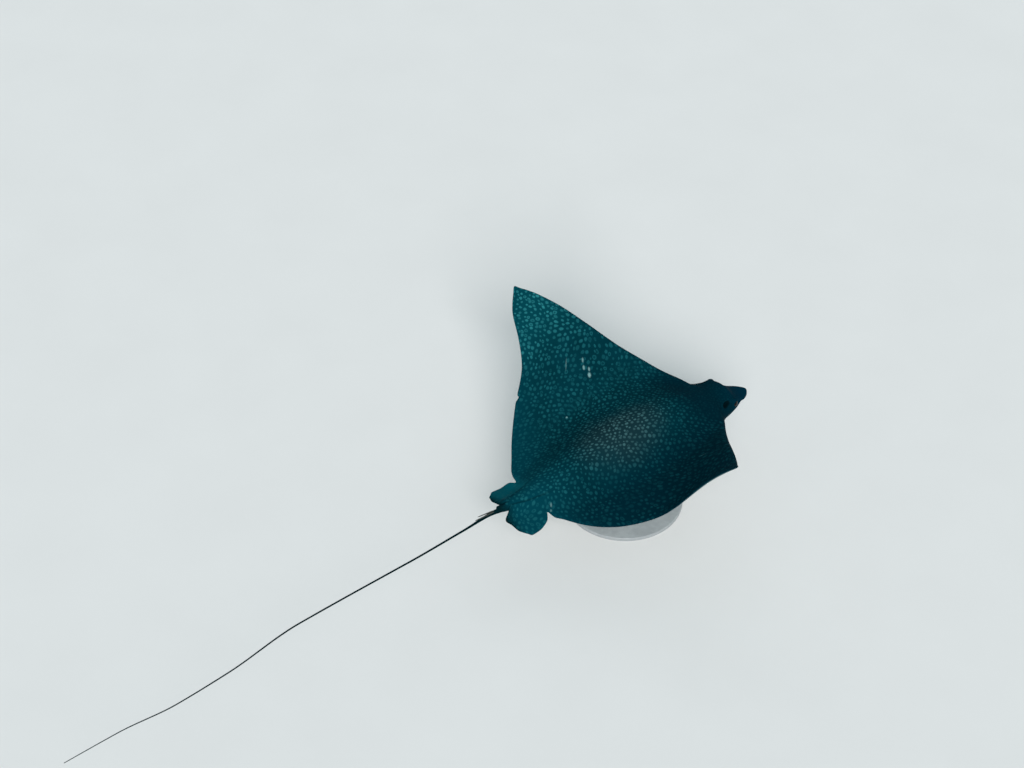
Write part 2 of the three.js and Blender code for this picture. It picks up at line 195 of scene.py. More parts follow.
def speckle(place, scale, detail=2.0, roughness=0.5):
    """The grey value of a noise at a scale."""
    inputs = {"Vector": place, "Scale": scale, "Detail": detail, "Roughness": roughness}
    return Number(add_node(place.id_data, "ShaderNodeTexNoise", inputs).outputs["Fac"])


def stretched(place, scale):
    """A place multiplied by a scale for each direction."""
    return add_node(place.id_data, "ShaderNodeMapping", {"Vector": place, "Scale": scale}).outputs["Vector"]


def bump(height, strength, distance):
    """The slope that a height gives a surface."""
    inputs = {"Strength": strength, "Distance": distance, "Height": height}
    return add_node(height.tree, "ShaderNodeBump", inputs).outputs["Normal"]


# %% Floor
FLOOR_SIZE = 60.0
bpy.ops.mesh.primitive_plane_add(size=FLOOR_SIZE)
floor = bpy.context.object
floor.name = "floor"
floor_paint, tree = new_material("pale floor")
grain = speckle(object_place(tree), 3.0, 4.0)
floor_colour = blend_colours(grain, (0.76, 0.74, 0.73, 1.0), (0.8, 0.78, 0.77, 1.0))
set_shader(tree, {"Base Color": floor_colour, "Roughness": 0.9, "Specular IOR Level": 0.2})
floor.data.materials.append(floor_paint)
print("floor:", FLOOR_SIZE, "m")

# %% Lights and world
WORLD_COLOUR = (0.7, 0.88, 0.93, 1.0)
WORLD_STRENGTH = 0.5


def soft_sun(name, towards_light, softness, strength):
    """An even light from a direction, as wide as its softness."""
    data = bpy.data.lights.new(name, "SUN")
    data.angle = softness
    data.energy = strength
    light = bpy.data.objects.new(name, data)
    bpy.context.scene.collection.objects.link(light)
    light.rotation_euler = Vector(towards_light).to_track_quat("Z", "Y").to_euler()


soft_sun("key", (-3.9, 2.5, 3.0), math.radians(32.0), 2.8)
soft_sun("fill", (3.4, -3.0, 3.3), math.radians(70.0), 0.35)

world = bpy.data.worlds.new("pale room")
world.use_nodes = True
set_inputs(world.node_tree.nodes["Background"], {"Color": WORLD_COLOUR, "Strength": WORLD_STRENGTH})
bpy.context.scene.world = world
bpy.context.scene.view_settings.view_transform = "Standard"

# %% [markdown]
# ## The shape of the ray
# A real ray is one smooth body without edges to build on, so no primitive comes near it. Its skin is
# lofted instead: an outline runs from the tip of the snout round the wing and the pelvic fin to the
# end of the tail, and for each place on it a closed ring runs across the back and the belly. The
# height of a ring's points comes from a few curves: the bulk of the body along the midline, the
# thickness of the wing sheet, and how they fade sideways. These are the solids' own curves, so that
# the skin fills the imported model.

# %% Smooth curves
def smooth_step(x):
    t = np.clip(x, 0.0, 1.0)
    return t * t * (3.0 - 2.0 * t)


def curve_through(points):
    """A smooth curve through a few points, with no overshoot between them."""
    xs, ys = np.array(points, float).T
    secants = np.diff(ys) / np.diff(xs)
    before, after = secants[:-1], secants[1:]
    inner = np.zeros(len(before))
    same_way = before * after > 0
    inner[same_way] = 2 * before[same_way] * after[same_way] / (before + after)[same_way]
    slopes = np.concatenate([secants[:1], inner, secants[-1:]])

    def value(x):
        place = np.clip(x, xs[0], xs[-1])
        i = np.clip(np.searchsorted(xs, place) - 1, 0, len(xs) - 2)
        width = xs[i + 1] - xs[i]
        t = (place - xs[i]) / width
        rise = (3 - 2 * t) * t * t
        pull = slopes[i] * t * (1 - t) ** 2 + slopes[i + 1] * t * t * (t - 1)
        return ys[i] * (1 - rise) + ys[i + 1] * rise + width * pull

    return value


# %% Outline: across, ahead, where its cross line meets the midline, and ahead on the right side
OUTLINE = [
    (0, 0.4105, 0.372),  # tip of the snout lobe
    (0.0174, 0.3986, 0.37),
    (0.0251, 0.3866, 0.366),
    (0.027, 0.3827, 0.36),
    (0.0307, 0.37, 0.352),
    (0.0382, 0.358, 0.344),  # root of the snout lobe
    (0.0456, 0.345, 0.334),
    (0.0508, 0.33, 0.322),  # eye
    (0.0566, 0.315, 0.309),
    (0.0609, 0.299, 0.295),
    (0.076, 0.2691, 0.276, 0.2744),  # wing meets the head
    (0.1, 0.2601, 0.256, 0.2551),
    (0.15, 0.2274, 0.22, 0.217),
    (0.22, 0.1805, 0.172, 0.1713),
    (0.3, 0.1369, 0.125, 0.1266),
    (0.3765, 0.0933, 0.08, 0.0834),
    (0.4519, 0.0428, 0.036, 0.0403),
    (0.4846, 0.0159, 0.014, 0.0198),
    (0.5, 0.0022, 0.004, 0.0085),  # wing tip
    (0.4896, -0.007, -0.004, -0.0049),
    (0.4547, -0.0303, -0.022, -0.025),
    (0.3991, -0.0427, -0.04, -0.0436),
    (0.34, -0.0625, -0.066, -0.0688),
    (0.27, -0.1215, -0.11, -0.1132),
    (0.2, -0.1711, -0.16, -0.1672),
    (0.14, -0.2098, -0.197, -0.2105),
    (0.1, -0.2373, -0.224, -0.2367),
    (0.084, -0.245, -0.234, -0.249),  # rear corner of the wing
    (0.062, -0.2525, -0.242),
    (0.0781, -0.264, -0.253),
    (0.0835, -0.284, -0.266),  # outer edge of the pelvic fin
    (0.0853, -0.3047, -0.278),
    (0.0778, -0.3149, -0.287),
    (0.06, -0.3325, -0.294),
    (0.036, -0.3433, -0.3),
    (0.019, -0.334, -0.307),
    (0.0095, -0.322, -0.318),  # pelvic fin meets the tail
    (0.0068, -0.331, -0.331),
    (0.0055, -0.348, -0.348),
    (0.0036, -0.385, -0.385),
    (0.0025, -0.45, -0.45),
    (0.0021, -0.62, -0.62),
    (0.0018, -0.9, -0.9),
    (0.0014, -1.2, -1.2),
    (0.0008, -1.5, -1.5),  # end of the tail
]
HEAD_END = 10
PELVIC_START = 27
TAIL_START = 37
TAIL_END = len(OUTLINE) - 1
outline_across = curve_through([(i, point[0]) for i, point in enumerate(OUTLINE)])
past_snout = [(-1, OUTLINE[1][1])]  # the next point again, as on the other side, to round the snout
outline_ahead = curve_through(past_snout + [(i, point[1]) for i, point in enumerate(OUTLINE)])
right_ahead = [point[3] if len(point) > 3 else point[1] for point in OUTLINE]
outline_ahead_right = curve_through(past_snout + list(enumerate(right_ahead)))
outline_anchor = curve_through([(i, point[2]) for i, point in enumerate(OUTLINE)])
print("disc from snout to tail root:", round((OUTLINE[0][1] - OUTLINE[TAIL_START][1]) * DISC_WIDTH, 3), "m")

# %% Heights along and across the body
BULK = [  # ahead, and the height over and under the middle plane
    (-1.5, 0.0008, 0.0008), (-1.2, 0.0014, 0.0014), (-0.9, 0.0018, 0.0018), (-0.62, 0.0021, 0.0021),
    (-0.45, 0.0026, 0.0025), (-0.385, 0.0042, 0.0038), (-0.348, 0.0068, 0.006), (-0.32, 0.0102, 0.0085),
    (-0.26, 0.018, 0.014), (-0.2, 0.028, 0.021), (-0.1, 0.046, 0.033), (0, 0.059, 0.041),
    (0.1, 0.066, 0.045), (0.18, 0.0611, 0.044), (0.25, 0.0362, 0.042), (0.3, 0.0233, 0.038),
    (0.33, 0.0266, 0.032), (0.35, 0.0127, 0.02), (0.366, 0.0043, 0.012), (0.385, 0.0012, 0.008),
    (0.405, 0.001, 0.006),
]
bulk_over = curve_through([(ahead, over) for ahead, over, _ in BULK])
bulk_under = curve_through([(ahead, under) for ahead, _, under in BULK])
bulk_width = curve_through([
    (-0.34, 0.035), (-0.28, 0.05), (-0.2, 0.095), (-0.1, 0.13), (0, 0.16), (0.1, 0.168),
    (0.2, 0.15), (0.27, 0.14), (0.3, 0.165), (0.34, 0.28), (0.4, 0.6),
])
sheet_along = curve_through([
    (-0.345, 0), (-0.325, 0.003), (-0.25, 0.006), (-0.15, 0.01), (0, 0.0125), (0.25, 0.013),
    (0.33, 0.01), (0.365, 0.006), (0.405, 0.003),
])
sheet_across = curve_through([(0, 1), (0.03, 1), (0.12, 0.86), (0.25, 0.62), (0.4, 0.34), (0.5, 0.18)])
middle_along = curve_through([
    (0.32, 0), (0.35, -0.0043), (0.366, -0.0095), (0.385, -0.0149), (0.405, -0.0163),
])
tail_side = curve_through([
    (-1.5, -0.006), (-1.37, -0.008), (-1.23, -0.021), (-1.1, -0.018), (-0.9, 0.0008), (-0.6, -0.0021),
    (-0.45, 0.0028), (-0.38, 0.0039), (-0.33, 0.0011), (-0.26, 0),
])
tail_drop = curve_through([
    (-1.5, -0.052), (-1.2, -0.035), (-0.9, -0.0151), (-0.6, -0.0012), (-0.45, 0.0018), (-0.36, 0.0082),
    (-0.28, 0.0037), (-0.2, 0),
])
TRAILING_THINNING = 0.55
PELVIC_SLOPES = (0.329, 0.216)
PELVIC_ROOT_AHEAD = -0.245
HEAD_ROUNDED_AHEAD = 0.262
TAIL_ROUNDED_AHEAD = -0.305
ROUNDED_SHARE = 0.94
EDGE_ROUNDING = 0.011
ROOT_ROUNDING = 0.014


def on_side(side, pair):
    """The left or the right value of a pair, as the two sides differ a little."""
    return np.where(side > 0, pair[0], pair[1])


def middle_height(side, across, ahead):
    """The middle plane dips at the snout, and the pelvic fins slope down and outwards."""
    pelvic = smooth_step((PELVIC_ROOT_AHEAD - ahead) / 0.04) * smooth_step((ahead + 0.34) / 0.012)
    return middle_along(ahead) - on_side(side, PELVIC_SLOPES) * np.maximum(0.0, across - 0.014) * pelvic


def edge_zone(anchor, line_length, outline_distance):
    """How far in from the outline the surface is rounded off: all the way on head and tail."""
    on_head = smooth_step((anchor - HEAD_ROUNDED_AHEAD) / 0.04)
    on_tail = smooth_step((TAIL_ROUNDED_AHEAD - anchor) / 0.014)
    full = ROUNDED_SHARE * line_length
    on_wing = np.minimum(EDGE_ROUNDING + ROOT_ROUNDING * (1 - outline_distance / 0.5), full)
    return on_wing + (full - on_wing) * np.maximum(on_head, on_tail)


# %% [markdown]
# ## The pose
# Each wing bends upwards along an arc and is straight beyond it. It also pitches, so that the
# trailing edge hangs lower than the leading edge, as a wing's does when it is drawn up through the
# water. The two sides of a swimming ray differ a little: a pair holds the left and the right value,
# and only the right wing twists back out of the pitch towards its tip.

# %% Pose
WING_RISES = (math.radians(48.2), math.radians(48.8))
BEND_START = 0.0114
BEND_END = 0.34
WING_PITCHES = (math.radians(32.6), math.radians(33.3))
PITCH_AXIS_AHEAD = 0.02
PITCH_START = 0.0107
PITCH_END = 0.42
TIP_ACROSS = 0.5
TIP_EASES = (0.0, 1.3)
TIP_EASE_START = 0.276
PELVIC_SWEEPS = (0.0026, -0.011)


def posed(across, ahead, height):
    """Flat places, in shares of the disc width, bent into the pose, in metres."""
    distance = np.abs(across)
    wing_rise = on_side(across, WING_RISES)
    radius = (BEND_END - BEND_START) / wing_rise
    angle = np.clip((distance - BEND_START) / radius, 0.0, wing_rise)
    beyond = np.maximum(0.0, distance - BEND_END)
    reach = np.minimum(distance, BEND_START) + radius * np.sin(angle) + beyond * np.cos(wing_rise)
    lift = radius * (1 - np.cos(angle)) + beyond * np.sin(wing_rise)
    tip_share = smooth_step((distance - TIP_EASE_START) / (TIP_ACROSS - TIP_EASE_START))
    easing = 1 - on_side(across, TIP_EASES) * tip_share
    pitch_share = smooth_step((distance - PITCH_START) / (PITCH_END - PITCH_START))
    pitch = on_side(across, WING_PITCHES) * easing * pitch_share
    on_pelvic_fin = smooth_step((PELVIC_ROOT_AHEAD - ahead) / 0.05) * smooth_step((distance - 0.012) / 0.03)
    lever = ahead + on_side(across, PELVIC_SWEEPS) * on_pelvic_fin - PITCH_AXIS_AHEAD
    x = np.sign(across) * (reach - height * np.cos(pitch) * np.sin(angle)) + tail_side(ahead)
    forward = PITCH_AXIS_AHEAD + lever * np.cos(pitch) - height * np.sin(pitch)
    z = lift + lever * np.sin(pitch) + height * np.cos(pitch) * np.cos(angle) + tail_drop(ahead)
    return np.stack([x, STAND_AHEAD - forward, z], -1) * DISC_WIDTH + (0.0, 0.0, PLANE_HEIGHT)


print("wing tip height:", round(float(posed(TIP_ACROSS, 0.005, 0.0)[2]), 3), "m")

# %% [markdown]
# ## Fine relief
# Some features are too small for the outline and the height curves. On the belly these are the
# nasal curtain over the mouth, the lips, five pairs of gill slits and the vent. On the back there is
# the crease where the root of the tail stands out of the disc. They are given as small rises and
# dips of the flat shape. A hollow place also gets painted shade in the finish later, and the gill
# slits get thin dark lines of painted shade there.

# %% Belly relief
MOUTH_AHEAD = 0.3135
MOUTH_HALF_WIDTH = 0.029
MOUTH_WAVE = 0.0022
SLIT_DEPTH = 0.0042
LIP_RISE = 0.002
CORNER_DEPTH = 0.0012
CURTAIN_FRONT = 0.338
CURTAIN_RISE = 0.0026
NOSTRIL_ACROSS = 0.0255
NOSTRIL_AHEAD = 0.334
NOSTRIL_DEPTH = 0.0035
GILL_PAIRS = 5
GILL_FIRST_AHEAD = 0.24
GILL_SPACING = 0.0225
GILL_FIRST_ACROSS = 0.058
GILL_DRAW_IN = 0.0032
GILL_HALF_LENGTH = 0.0098
GILL_SHORTENING = 0.07
GILL_BOW = 0.0022
GILL_SLANT = 0.12
GILL_FLAP_RISE = 0.0011
GILL_GROOVE_DEPTH = 0.0018
VENT_AHEAD = -0.272
VENT_DEPTH = 0.0018


def bell(x, width):
    return np.exp(-(x / width) ** 2)


def within(x, limit, softness):
    """1 inside a limit and 0 outside it, with a soft edge."""
    return smooth_step((limit - np.abs(x)) / softness + 0.5)


def belly_relief(across, ahead):
    """Rise of the belly's surface in shares of the disc width, and how hollow each place is."""
    mouth_line = MOUTH_AHEAD + MOUTH_WAVE * np.cos(across / MOUTH_HALF_WIDTH * math.pi * 2)
    behind_curtain = smooth_step((ahead - mouth_line) / 0.0016)
    curtain = behind_curtain * smooth_step((CURTAIN_FRONT - ahead) / 0.014)
    rise = CURTAIN_RISE * curtain * within(across, MOUTH_HALF_WIDTH, 0.004)
    slit = bell(ahead - mouth_line + 0.0014, 0.0013) * within(across, MOUTH_HALF_WIDTH + 0.001, 0.004)
    lip = bell(ahead - MOUTH_AHEAD + 0.0085, 0.0055) * within(across, MOUTH_HALF_WIDTH, 0.012)
    nostril = bell(np.hypot((np.abs(across) - NOSTRIL_ACROSS) / 1.5, ahead - NOSTRIL_AHEAD), 0.0022)
    corner = bell(np.abs(across) - MOUTH_HALF_WIDTH, 0.0014)
    corner = corner * within(ahead - (MOUTH_AHEAD + NOSTRIL_AHEAD) / 2, 0.011, 0.006)
    rise = rise + LIP_RISE * lip - SLIT_DEPTH * slit - NOSTRIL_DEPTH * nostril - CORNER_DEPTH * corner
    for pair in range(GILL_PAIRS):
        half_length = GILL_HALF_LENGTH * (1 - GILL_SHORTENING * pair)
        along = np.abs(across) - (GILL_FIRST_ACROSS - GILL_DRAW_IN * pair)
        bow = GILL_BOW * (along / half_length) ** 2 + GILL_SLANT * along
        offset = ahead - (GILL_FIRST_AHEAD - GILL_SPACING * pair) + bow
        extent = within(along, half_length, 0.004)
        groove = bell(offset, 0.0018) * extent
        flap = bell(offset - 0.0044, 0.0032) * extent
        rise = rise + GILL_FLAP_RISE * flap - GILL_GROOVE_DEPTH * groove
    vent = bell(across, 0.0014) * within(ahead - VENT_AHEAD, 0.01, 0.008)
    # The hollow share becomes painted shade in the finish: mouth slit, nostrils and vent
    return rise - VENT_DEPTH * vent, np.maximum(np.maximum(slit, nostril), 0.8 * vent)


# %% Back relief
CREASE_FRONT = (0.036, -0.214)
CREASE_REAR = (0.0085, -0.323)
RIDGE_RISE = 0.0011
CREASE_DEPTH = 0.0012


def back_relief(across, ahead):
    """Rise of the back's surface along the crease beside the root of the tail, and its hollow."""
    share = (ahead - CREASE_REAR[1]) / (CREASE_FRONT[1] - CREASE_REAR[1])
    crease = CREASE_REAR[0] + (CREASE_FRONT[0] - CREASE_REAR[0]) * share
    strength = smooth_step(share / 0.12) * smooth_step((1.15 - share) / 0.5)
    beside = np.abs(across) - crease
    ridge = RIDGE_RISE * bell(beside - 0.0024, 0.0022) - CREASE_DEPTH * bell(beside + 0.0006, 0.0022)
    # The hollow share becomes painted shade in the crease, in the finish
    return ridge * strength, strength * bell(beside + 0.0006, 0.002) * 0.5


# %% [markdown]
# ## Rings of the skin
# Rings lie close on the head and the fins and wider apart on the wings. Round each ring the points
# are drawn towards the midline, where the gill slits and the tail need them. On the thin tail only
# every eighth point is kept, past a band of faces that joins the fine rings to the coarse ones. An
# old tear in the trailing edge of the left wing gets closer rings too, as its lower lip is steep.

# %% Stations of the rings
RING_POINTS = 224
MIDLINE_CROWDING = 0.35
THINNED = 8
FIN_REAR = -0.376
HEAD_STEP = 0.0022
WING_STEP = 0.0041
PELVIC_STEP = 0.0033
FIN_STEP = 0.0017
TAIL_STEP = 0.0066
TEAR_STATIONS = (23.6, 23.96)
TEAR_RINGS = 26


def ring_stations(first, last, step, share_of_outline=0.55):
    """Stations between two outline points, about one step of skin apart, without the last."""
    stations = []
    for i in range(first, last):
        across, ahead, anchor = (OUTLINE[i + 1][k] - OUTLINE[i][k] for k in range(3))
        span = max(abs(anchor), share_of_outline * math.hypot(across, ahead)) * DISC_WIDTH
        count = max(1, math.ceil(span / step))
        stations += [i + n / count for n in range(count)]
    return stations


fine_stations = ring_stations(0, HEAD_END, HEAD_STEP)
fine_stations += ring_stations(HEAD_END, PELVIC_START, WING_STEP)
fine_stations += ring_stations(PELVIC_START, TAIL_START - 1, PELVIC_STEP)
fine_stations = [s for s in fine_stations if not TEAR_STATIONS[0] <= s <= TEAR_STATIONS[1]]
fine_stations = sorted(fine_stations + list(np.linspace(*TEAR_STATIONS, TEAR_RINGS)))
tail_stations = ring_stations(TAIL_START - 1, TAIL_START + 1, FIN_STEP)
tail_stations += ring_stations(TAIL_START + 1, TAIL_END, TAIL_STEP) + [float(TAIL_END)]
fine_stations += [s for s in tail_stations if outline_ahead(s) > FIN_REAR]
coarse_stations = [s for s in tail_stations if outline_ahead(s) <= FIN_REAR]
print("rings:", len(fine_stations), "fine,", len(coarse_stations), "on the tail")

# %% A tear in the edge
TEAR_INNER_END = 0.2768
TEAR_LENGTH = 0.0135
TEAR_DEPTH = 0.0095
TEAR_FADE = 0.03


def torn(side, across, from_edge):
    """How far the trailing edge of the left wing is drawn ahead at an old tear."""
    share = (across - TEAR_INNER_END) / TEAR_LENGTH
    gap = smooth_step(share / 0.2) * smooth_step((1.05 - share) / 0.9)
    return TEAR_DEPTH * gap * smooth_step(1 - from_edge / TEAR_FADE) * (side > 0)


# %% Points of the skin
def flat_points(stations, ring_points):
    """Flat places of all points of some rings: a table of rings by points for each value."""
    station = np.array(stations)[:, None]
    turn = np.arange(ring_points)[None, :] / ring_points * 2 * math.pi
    side = -np.cos(turn + MIDLINE_CROWDING * np.sin(2 * turn))
    on_back = np.broadcast_to(np.sin(turn) >= 0, (len(stations), ring_points))
    share = np.abs(side)
    edge_across, anchor = outline_across(station), outline_anchor(station)
    edge_ahead = np.where(side > 0, outline_ahead(station), outline_ahead_right(station))
    across = edge_across * share
    ahead = anchor + (edge_ahead - anchor) * share
    line_length = np.hypot(edge_across, edge_ahead - anchor)
    from_edge = (1 - share) * line_length
    zone = np.maximum(edge_zone(anchor, line_length, edge_across), 1e-9)
    inset = np.minimum(1.0, from_edge / zone)
    rounding = np.sqrt(np.maximum(0.0, 1 - (1 - inset) ** 2))
    dome = (1 - np.minimum(1.0, across / bulk_width(ahead)) ** 2) ** 2
    trailing = smooth_step((0.05 - anchor) / 0.12) * TRAILING_THINNING * share**2
    sheet = sheet_along(ahead) * sheet_across(across) * (1 - trailing)
    bulk = np.where(on_back, bulk_over(ahead), bulk_under(ahead))
    rise_over, hollow_over = back_relief(across, ahead)
    rise_under, hollow_under = belly_relief(across, ahead)
    rise = np.where(on_back, rise_over, rise_under) * smooth_step(from_edge / 0.004)
    height = rounding * (bulk * dome + sheet + rise)
    ahead = ahead + torn(side, across, from_edge) * (anchor < 0)
    return {
        "across": np.sign(side) * across,
        "ahead": ahead,
        "height": np.where(on_back, height, -height) + middle_height(side, across, ahead),
        "belly": np.where(on_back, -1.0, 1.0) * np.minimum(1.0, from_edge / 0.04),
        "hollow": np.where(on_back, hollow_over, hollow_under),
        "steep": (bulk * dome + sheet) * (1 - inset) / (np.maximum(rounding, 0.02) * zone),
    }


fine = flat_points(fine_stations, RING_POINTS)
coarse = flat_points(coarse_stations, RING_POINTS)
coarse = {name: values[:, ::THINNED] for name, values in coarse.items()}
flat = {name: np.concatenate([fine[name].ravel(), coarse[name].ravel()]) for name in fine}
places = posed(flat["across"], flat["ahead"], flat["height"])
print("points:", len(places))

# %% Faces of the skin
def band(first, second, points):
    """Faces between two rings that start at two point numbers."""
    return [
        (first + i, first + (i + 1) % points, second + (i + 1) % points, second + i) for i in range(points)
    ]


faces = []
for ring in range(len(fine_stations) - 1):
    faces += band(ring * RING_POINTS, (ring + 1) * RING_POINTS, RING_POINTS)
last_fine = (len(fine_stations) - 1) * RING_POINTS
first_coarse = len(fine_stations) * RING_POINTS
coarse_points = RING_POINTS // THINNED
for i in range(coarse_points):
    wide = [last_fine + (i * THINNED + n) % RING_POINTS for n in range(THINNED + 1)]
    faces.append((*wide, first_coarse + (i + 1) % coarse_points, first_coarse + i))
for ring in range(len(coarse_stations) - 1):
    start = first_coarse + ring * coarse_points
    faces += band(start, start + coarse_points, coarse_points)
last_ring = first_coarse + (len(coarse_stations) - 1) * coarse_points
faces.append(tuple(last_ring + i for i in range(coarse_points)))
print("faces:", len(faces))

# %% [markdown]
# ## Eyes' sockets, spiracles and dorsal fin
# These stand on the sides of the head and the top of the tail, where "up" in the flat shape is no
# help, so they are shaped after the pose. Round each eye the skin is drawn in behind the eyeball
# and swells into a soft rim, for rays have no lids. Behind each eye lies the spiracle, the hole
# through which the ray draws water to its gills. The small dorsal fin is drawn up out of the tail.

# %% Eye sockets
EYE_OPENING = math.radians(50.0)
SOCKET_SLOPE = math.radians(18.0)
SOCKET_DEPTH = 0.003
SOCKET_REACH = 0.045
RIM_RISE = 0.0024
RIM_WIDTH = math.radians(9.0)
BROW_RISE = 0.004
BROW_WIDTH = 0.015
hollow = flat["hollow"]


def eye_seat(side):
    """Centre, radius and outward axis of an eye: side is 1 for the left and -1 for the right."""
    low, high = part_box("eye_left" if side > 0 else "eye_right")
    axis = Vector((0.94 * side, -0.22, 0.26)).normalized()
    return (Vector(low) + Vector(high)) / 2, (high[1] - low[1]) / 2, axis


def shape_socket(side):
    """Draws the skin in behind an eyeball and raises a rim and a brow round it."""
    centre, radius, axis = eye_seat(side)
    from_eye = places - np.array(centre)
    distance = np.linalg.norm(from_eye, axis=1)
    near = distance < SOCKET_REACH
    direction = from_eye[near] / distance[near, None]
    angle = np.arccos(np.clip(direction @ np.array(axis), -1, 1))
    rim = RIM_RISE * bell(angle - EYE_OPENING - RIM_WIDTH, RIM_WIDTH)
    slope = (angle - EYE_OPENING) / SOCKET_SLOPE
    socket = radius + SOCKET_DEPTH * np.clip(slope, -1, 1.3)
    outside = np.maximum(distance[near] + rim, np.minimum(socket, radius + 0.0008))
    drawn_in = socket + (outside - socket) * smooth_step((slope - 0.7) / 0.9)
    places[near] = np.array(centre) + direction * drawn_in[:, None]
    brow = np.array(centre) + (0.004 * side, 0.004, 0.021)
    swell = bell(np.linalg.norm(places - brow, axis=1), BROW_WIDTH)
    places[:] += swell[:, None] * np.array((0.3 * side, 0.0, 1.0)) * BROW_RISE
    return radius


for side in (1, -1):
    print("eye radius:", round(shape_socket(side), 4), "m")

# %% Spiracles
SPIRACLE_LENGTH = 0.044
SPIRACLE_WIDTH = 0.019
SPIRACLE_DEPTH = 0.012
SPIRACLE_RIM = 0.0016
SPIRACLE_REACH = 0.03
SPIRACLE_FROM_EYE = (0.006, 0.042, 0.016)


def shape_spiracle(side):
    """Sinks a long oval into the side of the head behind the eye, with a raised rim."""
    centre, _, _ = eye_seat(side)
    target = np.array(centre) + np.array(SPIRACLE_FROM_EYE) * (side, 1, 1)
    spot = places[np.argmin(np.linalg.norm(places - target, axis=1))].copy()
    outward = Vector((spot[0], 0.0, spot[2] - PLANE_HEIGHT + 0.01)).normalized()
    along = Vector((0.3 * side, 1.0, -0.1))
    along = (along - along.dot(outward) * outward).normalized()
    offset = places - spot
    long_share = offset @ np.array(along) / SPIRACLE_LENGTH
    wide_share = offset @ np.array(outward.cross(along)) / SPIRACLE_WIDTH
    oval = np.hypot(long_share, wide_share) * 2
    near = np.abs(offset @ np.array(outward)) < SPIRACLE_REACH
    sunk = SPIRACLE_DEPTH * smooth_step((1.15 - oval) / 0.95)
    raised = SPIRACLE_RIM * bell(oval - 1.3, 0.25)
    places[near] += ((raised - sunk)[:, None] * np.array(outward))[near]
    # The spiracle's hollow share becomes painted shade in the finish
    hollow[near] = np.maximum(hollow[near], smooth_step((1.12 - oval[near]) / 0.45))
    return spot


for side in (1, -1):
    print("spiracle at:", shape_spiracle(side).round(3))

# %% Dorsal fin
DORSAL_FRONT = -0.331
DORSAL_LENGTH = 0.032
DORSAL_HEIGHT = 0.0145
DORSAL_HALF_THICKNESS = 0.0021
DORSAL_LEAN = 0.5

along_fin = (DORSAL_FRONT - flat["ahead"]) * DISC_WIDTH / DORSAL_LENGTH
off_middle = flat["across"] * DISC_WIDTH / DORSAL_HALF_THICKNESS
rounded = np.sqrt(np.maximum(0.0, 1 - off_middle**2)) * (flat["belly"] < 0)
profile = smooth_step(along_fin / 0.62) * smooth_step((1.04 - along_fin) / 0.2)
fin_lift = DORSAL_HEIGHT * profile * rounded
places[:, 2] += fin_lift
places[:, 1] += fin_lift * DORSAL_LEAN
print("dorsal fin:", round(float(fin_lift.max()) * 1000, 1), "mm high")

# %% [markdown]
# ## Maps on the skin
# The pattern follows the flat ray and not the space round it, so it is laid on by maps. One holds
# the flat places in metres. A second one is the same sheet squeezed and slanted: spots are closer on
# the head, narrow and slanting towards the wing tips, and drawn out on the right wing, as the two
# sides of a ray are never quite alike. A third opens the skin into patches that lie side by side,
# for baking: back, belly, and the tail in lengths.

# %% Build the mesh
skin_mesh = bpy.data.meshes.new("skin")
skin_mesh.from_pydata(places.tolist(), [], faces)
skin = bpy.data.objects.new("skin", skin_mesh)
bpy.context.scene.collection.objects.link(skin)

corner_points = np.empty(len(skin_mesh.loops), dtype=np.int64)
skin_mesh.loops.foreach_get("vertex_index", corner_points)
face_sizes = np.array([len(face) for face in faces])
corner_faces = np.repeat(np.arange(len(faces)), face_sizes)


def write_map(name, values):
    """Stores one pair of numbers for each corner of the skin's faces."""
    layer = skin_mesh.uv_layers.new(name=name)
    layer.data.foreach_set("uv", np.ascontiguousarray(values, dtype=np.float32).ravel())


def write_attribute(name, values):
    """Stores one number for each point of the skin."""
    layer = skin_mesh.attributes.new(name, "FLOAT", "POINT")
    layer.data.foreach_set("value", np.ascontiguousarray(values, dtype=np.float32))


write_attribute("belly", flat["belly"])
# How hollow each point is, for the painted shade in hollow places
write_attribute("hollow", hollow)
write_attribute("steep", np.minimum(flat["steep"], 4.0))
print("skin:", len(skin_mesh.vertices), "points")

# %% Map for the spots
SPOTS_CLOSER_ON_HEAD = 0.5
SPOTS_NARROWER_ON_TIPS = 0.25
SPOTS_SLANT = 0.5
SPOTS_DRAWN_OUT_ON_RIGHT = 0.36
SUM_STEPS = 800


def summed(start, end, density):
    """A table of a density added up from start to end, with 0 at 0, for reading in between."""
    grid = np.linspace(start, end, SUM_STEPS)
    sums = np.cumsum(np.diff(grid, prepend=grid[0]) * density(grid))
    return lambda x: np.interp(x, grid, sums - np.interp(0.0, grid, sums))


def crowding_ahead(ahead):
    return 1 + SPOTS_CLOSER_ON_HEAD * smooth_step((ahead - 0.23) / 0.1)


def towards_tip(distance):
    return smooth_step((distance - 0.29) / 0.1)


def right_density(distance):
    return 1 - SPOTS_DRAWN_OUT_ON_RIGHT * smooth_step((distance - 0.06) / 0.14)


across, ahead = flat["across"], flat["ahead"]
distance = np.abs(across)
slant = SPOTS_SLANT * summed(0.0, TIP_ACROSS, towards_tip)(distance)
narrowing = 1 + SPOTS_NARROWER_ON_TIPS * towards_tip(distance)
drawn_out = summed(0.0, TIP_ACROSS, right_density)(distance)
spot_map = np.stack([
    np.where(across < 0, -drawn_out, across) * crowding_ahead(ahead),
    (summed(-1.6, 0.45, crowding_ahead)(ahead) + slant) * narrowing,
], -1)
write_map("plan", (np.stack([across, ahead], -1) * DISC_WIDTH)[corner_points])
write_map("spots", (spot_map * DISC_WIDTH)[corner_points])
print("maps:", [layer.name for layer in skin_mesh.uv_layers])

